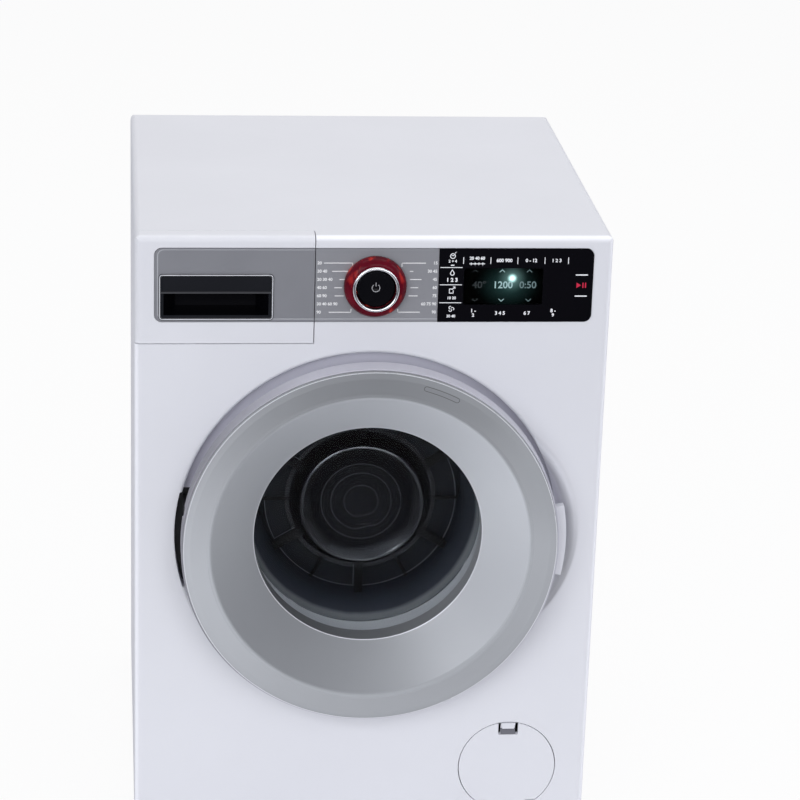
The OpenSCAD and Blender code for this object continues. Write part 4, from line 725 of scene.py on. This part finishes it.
def programme_marks():
    """Numbers beside the dial with their leader lines."""
    ink = Ink(PLATE_PROUD)
    for side, rows, edge in ((-1, LEFT_ROWS, PLATE_LOW.x + 0.6 * MM),
                             (1, RIGHT_ROWS, PLATE_HIGH.x - 0.5 * MM)):
        for k, (words, far, near, bend) in enumerate(rows):
            z = ROW_TOP - k * ROW_STEP
            ink.text(words, edge, z, 1.15 * MM, "LEFT" if side < 0 else "RIGHT", 0.05 * MM)
            if not far:
                continue
            points = [(side * far * MM, z), (side * near * MM, z)]
            if bend:
                points.append((side * near * MM, z + bend * MM))
            ink.line(points, LINE_W)
    ink.done("programme_marks", "cabinet", "mark")


programme_marks()


def stroke(ink, x, drop, width, *points):
    """A line through points (right, up) round a place that is x to the right of the middle and
    drop below the top, all in mm."""
    ink.line([((x + u) * MM, TOP_Z - (drop - v) * MM) for u, v in points], width * MM)


def label(ink, words, x, drop, height, bold):
    """Numbers centred on such a place, in mm too."""
    ink.text(words, x * MM, TOP_Z - drop * MM, height * MM, "CENTER", bold * MM)


LEFT_COLUMN = 29.8
HEADER_DROP = 9.4
PANEL_LABELS = (
    ("2 + 4", LEFT_COLUMN, 9.7, 1.05, 0.05), ("1 2 3", LEFT_COLUMN, 17.3, 1.5, 0.08),
    ("10 20", LEFT_COLUMN, 24.6, 1.05, 0.05), ("30 40", LEFT_COLUMN, 32, 1.05, 0.05),
    # header row
    ("20 40 60", 39.3, 8.5, 1.15, 0.06), ("600 900", 49.9, HEADER_DROP, 1.3, 0.06),
    ("0 - 12", 60.4, HEADER_DROP, 1.3, 0.06), ("1 2 3", 70.3, HEADER_DROP, 1.3, 0.06),
    # bottom row
    ("1 -", 38.5, 29.8, 1.35, 0.07), ("2", 38.5, 31.6, 1.25, 0.07),
    ("3 4 5", 49.0, 30.8, 1.35, 0.07), ("6 7", 59.5, 30.8, 1.35, 0.07),
    ("8 -", 69.8, 29.8, 1.35, 0.07), ("9", 69.8, 31.6, 1.25, 0.07))
# the symbols of the left column: drop, width and points
SYMBOL_STROKES = (
    # a tub with a spark
    (7.6, 0.28, (-0.4, 0.2), (0.4, 0.2)), (7.6, 0.3, (0.9, 1.2), (1.2, 1.6)),
    (11.3, 0.42, (-0.5, 0), (0.5, 0)),
    # a drop
    (14.6, 0.3, (-0.66, 0.3), (0, 1.45), (0.66, 0.3)),
    # a box with an arrow
    (21.6, 0.28, (-0.9, -1), (-0.9, 0.7), (0.3, 0.7)),
    (21.6, 0.28, (-0.9, -1), (0.6, -1), (0.6, 0)),
    (21.6, 0.3, (0.1, 0.5), (1.2, 1.5)),
    (21.6, 0.28, (0.6, 1.55), (1.25, 1.55), (1.25, 0.9)))


def panel_marks():
    """Symbols, separators and numbers printed on the black panel."""
    ink = Ink(PANEL_PROUD)
    for drop in (12.2, 19.2, 26.5):
        stroke(ink, 29.4, drop, 0.28, (-4.2, 0), (4.2, 0))
    for values in SYMBOL_STROKES:
        stroke(ink, LEFT_COLUMN, *values)
    x, z = LEFT_COLUMN * MM, TOP_Z - 7.6 * MM
    ink.arc(x, z, 0.95 * MM, 0, 360, 0.3 * MM)
    ink.arc(x, z - 7 * MM, 0.72 * MM, -200, 20, 0.34 * MM)
    # a fan of three blades
    z = TOP_Z - 29 * MM
    blade = 0.55 * MM
    for turn in (0, 120, 240):
        ink.arc(x + blade * math.cos(math.radians(turn)), z + blade * math.sin(math.radians(turn)),
                blade, turn - 60, turn + 150, 0.28 * MM, 14)
    # separators of the header row and a comb under its first label
    for place in (34.0, 44.6, 55.1, 65.7, 74.9):
        stroke(ink, place, HEADER_DROP, 0.26, (0, -1.25), (0, 1.25))
    stroke(ink, 39.3, 10.7, 0.3, (-2.9, 0), (2.9, 0))
    for place in (37, 38.5, 40, 41.5):
        stroke(ink, place, 10.7, 0.26, (0, -0.45), (0, 0.45))
    # above and below the start sign
    for drop in (15.2, 23.8):
        stroke(ink, 80.4, drop, 0.45, (-2.2, 0), (2.2, 0))
    for values in PANEL_LABELS:
        label(ink, *values)
    ink.done("panel_marks", "cabinet", "panel_mark")


def start_sign():
    """A red triangle and two bars."""
    ink = Ink(PANEL_PROUD)
    x, drop = 80.4, 19.4
    z = TOP_Z - drop * MM
    ink.face([((x - 1.9) * MM, z - 1.1 * MM), ((x - 0.1) * MM, z), ((x - 1.9) * MM, z + 1.1 * MM)])
    for shift in (0.65, 1.65):
        stroke(ink, x + shift, drop, 0.5, (0, -0.85), (0, 0.85))
    ink.done("start_sign", "cabinet", "red_mark")


panel_marks()
start_sign()


def screen_digits():
    """Digits and arrows on the card behind the window, in three tones; the bright and the soft
    ones have a painted glow.
    """
    card_proud = FRONT_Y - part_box("display_card")[0].y
    for tone, material, words, x, bold, ups, downs in (
            ("bright", "lit_digit", "1200", 49.8, 0.06, (49.4,), (49.4,)),
            ("soft", "soft_digit", "0:50", 59.6, 0.05, (60.0,), (60.0,)),
            ("dim", "dim_mark", "40°", 40.6, 0.05, (38.8, 70.5), (39.1,))):
        ink = Ink(card_proud)
        label(ink, words, x, 19.7, 2.7, bold)
        for places, drop, rise in ((ups, 13.9, 0.45), (downs, 25.8, -0.45)):
            for place in places:
                stroke(ink, place, drop, 0.26, (-0.95, -rise), (0, rise), (0.95, -rise))
        ink.done("screen_digits_" + tone, "cabinet", material)


screen_digits()


def plate_painted_highlights():
    """A painted highlight: the pale line on the raised border that runs round the silver plates.
    """
    inset, width, bend, thick = 1.2 * MM, 0.26 * MM, 2.4 * MM, 0.05 * MM
    left, right = DRAWER_LOW.x + inset, DRAWER_HIGH.x
    foot, top = DRAWER_LOW.z + inset, DRAWER_HIGH.z - inset / 2
    ink = Ink(PLATE_PROUD, thick)
    ink.line([(right, foot), (left + bend, foot)], width)
    ink.arc(left + bend, foot + bend, bend, 180, 270, width, 14)
    ink.line([(left, foot + bend), (left, top - bend)], width)
    ink.arc(left + bend, top - bend, bend, 90, 180, width, 14)
    ink.line([(left + bend, top), (right, top)], width * 0.6)
    ink.done("drawer_plate_edge", "drawer", "painted_highlight_line")
    foot = PLATE_LOW.z + inset
    ink = Ink(PLATE_PROUD, thick)
    ink.line([(PLATE_LOW.x, foot), (PLATE_HIGH.x, foot)], width)
    ink.done("control_plate_edge", "cabinet", "painted_highlight_line")


plate_painted_highlights()


def trim_painted_sheen():
    """The bright line along the middle of the handle's frame, where its chrome rim is: the rim's
    sheen is painted in as a pale colour.
    """
    low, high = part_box("drawer_handle_trim")
    ink = Ink(FRONT_Y - low.y)
    edge, bend, width = 0.40 * MM, 1.0 * MM, 0.32 * MM
    x0, x1, z0, z1 = low.x + edge, high.x - edge, low.z + edge, high.z - edge
    for z in (z0, z1):
        ink.line([(x0 + bend, z), (x1 - bend, z)], width)
    for x in (x0, x1):
        ink.line([(x, z0 + bend), (x, z1 - bend)], width)
    for cx, cz, start in ((x0 + bend, z0 + bend, 180), (x1 - bend, z0 + bend, 270),
                          (x1 - bend, z1 - bend, 0), (x0 + bend, z1 - bend, 90)):
        ink.arc(cx, cz, bend, start, start + 90, width, 8)
    ink.done("handle_trim_line", "drawer", "pale_line_painted_sheen")


trim_painted_sheen()

DRUM_LINE_T = 0.06 * MM


def hub_rings():
    """Fine concentric rings on the hub's flat face."""
    ink = Ink(FRONT_Y - HUB_FACE_Y, DRUM_LINE_T)
    for radius in (16.4, 12.4, 7.0):
        ink.arc(DOOR.x, DOOR.z, radius * MM, 0, 360, 0.2 * MM, 96)
    ink.done("hub_rings", "drum", "drum_line")


def drum_painted_highlights():
    """Painted highlights on edges inside the drum: round its back plate and along one side of each
    rib.
    """
    ink = Ink(FRONT_Y - DRUM_BACK_Y, DRUM_LINE_T)
    ink.arc(DOOR.x, DOOR.z, RIB_OUT + 0.3 * MM, 0, 360, 0.22 * MM, 120)
    half_rib = 2.0 * MM
    for turn in range(30, 390, 60):
        c, s = math.cos(math.radians(turn)), math.sin(math.radians(turn))
        ink.line([(DOOR.x + r * c + half_rib * s, DOOR.z + r * s - half_rib * c)
                  for r in (RIB_IN, RIB_OUT - 0.4 * MM)], 0.24 * MM)
    ink.done("drum_painted_highlights", "drum", "drum_painted_highlight")


hub_rings()
drum_painted_highlights()

# lines on the ring start this far out from the front plane, a little below the ring's face
RING_INK = FRONT_Y - RING_FRONT - 0.03 * MM


def ring_edge_painted_highlight():
    """A painted highlight along the outer edge of the silver ring."""
    low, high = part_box("door_ring")
    ink = Ink(RING_INK)
    ink.arc(DOOR.x, DOOR.z, (high.x - low.x) / 2 - 0.45 * MM, 0, 360, 0.34 * MM, 160)
    ink.done("ring_edge_painted_highlight", "door", "edge_painted_highlight")


ring_edge_painted_highlight()


def opening_edge_painted_highlight():
    """A painted highlight on the edge where the cone meets the opening. It follows the cone's
    slope.
    """
    slope = 0.75

    def on_cone(x, z, proud):
        outward = math.hypot(x - DOOR.x, z - DOOR.z) - OPENING_R
        return front(x, z, OPENING_PROUD + slope * outward + proud)

    ink = Ink(0.0, at=on_cone)
    ink.arc(DOOR.x, DOOR.z, OPENING_R + 0.18 * MM, 0, 360, 0.22 * MM, 160)
    ink.done("opening_edge_painted_highlight", "door", "edge_painted_highlight")


opening_edge_painted_highlight()


def pill_mark():
    """A small pressed outline on the ring's flat band."""
    ink = Ink(RING_INK)
    radius, half, width = 69.7 * MM, 0.95 * MM, 0.22 * MM
    middle_turn, half_turn = 68.3, 5.3
    for r in (radius - half, radius + half):
        ink.arc(DOOR.x, DOOR.z, r, middle_turn - half_turn, middle_turn + half_turn, width, 24)
    for side, start in ((-1, -180), (1, 0)):
        turn = middle_turn + side * half_turn
        way = math.radians(turn)
        ink.arc(DOOR.x + radius * math.cos(way), DOOR.z + radius * math.sin(way), half,
                turn + start, turn + start + 180, width, 14)
    ink.done("ring_mark", "door", "groove")


pill_mark()


def power_sign():
    """A power sign on the dished top of the push button."""
    top_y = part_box("push_button")[0].y
    dish_r, dish_deep, width = 6.5 * MM, 3 * MM, 0.32 * MM
    near = [v.co for v in nodes["push_button"].data.vertices
            if off_axis(v.co, DIAL) < dish_r and v.co.y < top_y + dish_deep]
    deepest = max(co.y for co in near)
    edge_r = max(off_axis(co, DIAL) for co in near)
    edge_y = min(co.y for co in near)

    def on_dish(x, z, proud):
        share = ((x - DIAL.x) ** 2 + (z - DIAL.z) ** 2) / edge_r ** 2
        return Vector((x, deepest + (edge_y - deepest) * share - proud, z))

    ink = Ink(0.0, 0.05 * MM, on_dish)
    ink.arc(DIAL.x, DIAL.z + 0.3 * MM, 1.5 * MM, 125, 415, width)
    ink.line([(DIAL.x, DIAL.z + 1.1 * MM), (DIAL.x, DIAL.z + 2.4 * MM)], width)
    ink.done("power_sign", "button", "button_mark")


power_sign()


# ---------- floor, light and camera ----------


def seen_straight(tree):
    """1 for what is seen directly or through clear pieces only, else 0."""
    light = tree.add("ShaderNodeLightPath").outputs
    bounced = tree.calc("ADD", light["Diffuse Depth"], light["Glossy Depth"])
    through = tree.calc("MULTIPLY", tree.calc("LESS_THAN", bounced, 0.5),
                        light["Is Transmission Ray"])
    return tree.calc("MAXIMUM", light["Is Camera Ray"], through)


def white_for_view(name, near, far, share):
    """A pale matte sweep that darkens in front of the machine, as a table does towards an unlit
    room. It goes to white for what looks straight at it, and still takes the object's shadow."""
    material = bpy.data.materials.new(name)
    material.use_nodes = True
    tree = Nodes(material.node_tree)
    shader = principled(material)
    dark_y, pale_y = -0.62, -0.22
    ahead = tree.between(tree.parts(tree.place())["Y"], 0.0, 1.0, dark_y, pale_y)
    tree.link(tree.ramp(ahead, ((0.0, far), (1.0, near))), shader.inputs["Base Color"])
    shader.inputs["Roughness"].default_value = 0.8
    shader.inputs["Specular IOR Level"].default_value = 0.1
    glow = tree.add("ShaderNodeEmission", Color=(1, 1, 1, 1))
    mix = tree.add("ShaderNodeMixShader")
    tree.link(tree.calc("MULTIPLY", seen_straight(tree), share), mix.inputs["Fac"])
    tree.link(shader.outputs["BSDF"], mix.inputs[1])
    tree.link(glow.outputs["Emission"], mix.inputs[2])
    tree.link(mix.outputs["Shader"], material.node_tree.nodes["Material Output"].inputs["Surface"])
    return material


def floor():
    """The floor that the machine stands on."""
    mesh = bmesh.new()
    half = 4.0
    mesh.faces.new([mesh.verts.new((x, y, 0)) for x, y in
                    ((-half, -half), (half, -half), (half, half), (-half, half))])
    data = bpy.data.meshes.new("floor")
    mesh.to_mesh(data)
    mesh.free()
    data.materials.append(white_for_view("floor_white", near=(0.74, 0.74, 0.75),
                                         far=(0.10, 0.10, 0.11), share=0.93))
    piece = bpy.data.objects.new("floor", data)
    scene.collection.objects.link(piece)


floor()


def world():
    """White where it is seen straight on. As light it is dimmer, and dimmest overhead."""
    made = bpy.data.worlds.new("studio")
    scene.world = made
    made.use_nodes = True
    tree = Nodes(made.node_tree)
    light = tree.ramp(tree.parts(tree.place("Generated"))["Z"],
                      ((0.0, (0.60, 0.605, 0.66)), (0.9, (0.40, 0.405, 0.44))))
    tree.link(tree.blend(seen_straight(tree), light, (1, 1, 1)),
              made.node_tree.nodes["Background"].inputs["Color"])


world()


def softbox(name, place, size, watts, colour):
    """A rectangular lamp that looks at the machine's middle."""
    lamp = bpy.data.lights.new(name, "AREA")
    lamp.shape = "RECTANGLE"
    lamp.size, lamp.size_y = size
    lamp.energy = watts
    lamp.color = colour
    holder = bpy.data.objects.new(name, lamp)
    holder.location = place
    holder.rotation_euler = (CENTRE - Vector(place)).to_track_quat("-Z", "Y").to_euler()
    scene.collection.objects.link(holder)


CENTRE = Vector((0, 0, TOP_Z / 2))
softbox("softbox_left", (-0.7, -1.4, 0.72), (0.9, 0.9), 10.3, (0.965, 0.975, 1.0))
softbox("softbox_front", (0.35, -1.5, 0.80), (1.0, 0.8), 6.3, (0.965, 0.975, 1.0))
softbox("softbox_right", (1.2, 0.0, 0.9), (0.8, 0.8), 3.6, (0.96, 0.97, 1.0))
softbox("softbox_top", (0, 0.45, 1.4), (1.4, 1.2), 8.0, (1.0, 0.985, 0.93))


def camera():
    """The photograph's view: where the camera stood, how it was turned, and its lens."""
    place = Vector((-102.0 * MM, FRONT_Y - 1072.8 * MM, TOP_Z + 326.6 * MM))
    yaw, pitch, roll = (math.radians(a) for a in (6.019, 20.032, 1.847))
    focal_px, image_px = 2931.2, 800
    ahead = Vector((math.sin(yaw) * math.cos(pitch), math.cos(yaw) * math.cos(pitch),
                    -math.sin(pitch)))
    right = Vector((math.cos(yaw), -math.sin(yaw), 0))
    up = right.cross(ahead)
    across = math.cos(roll) * right + math.sin(roll) * up
    upward = -math.sin(roll) * right + math.cos(roll) * up
    data = bpy.data.cameras.new("camera")
    data.sensor_fit = "HORIZONTAL"
    data.sensor_width = 36.0
    data.lens = focal_px / image_px * data.sensor_width
    data.clip_start = 0.01
    holder = bpy.data.objects.new("camera", data)
    turned = Matrix((across, upward, -ahead)).transposed().to_4x4()
    holder.matrix_world = Matrix.Translation(place) @ turned
    scene.collection.objects.link(holder)
    scene.camera = holder


camera()
scene.view_settings.view_transform = "Standard"
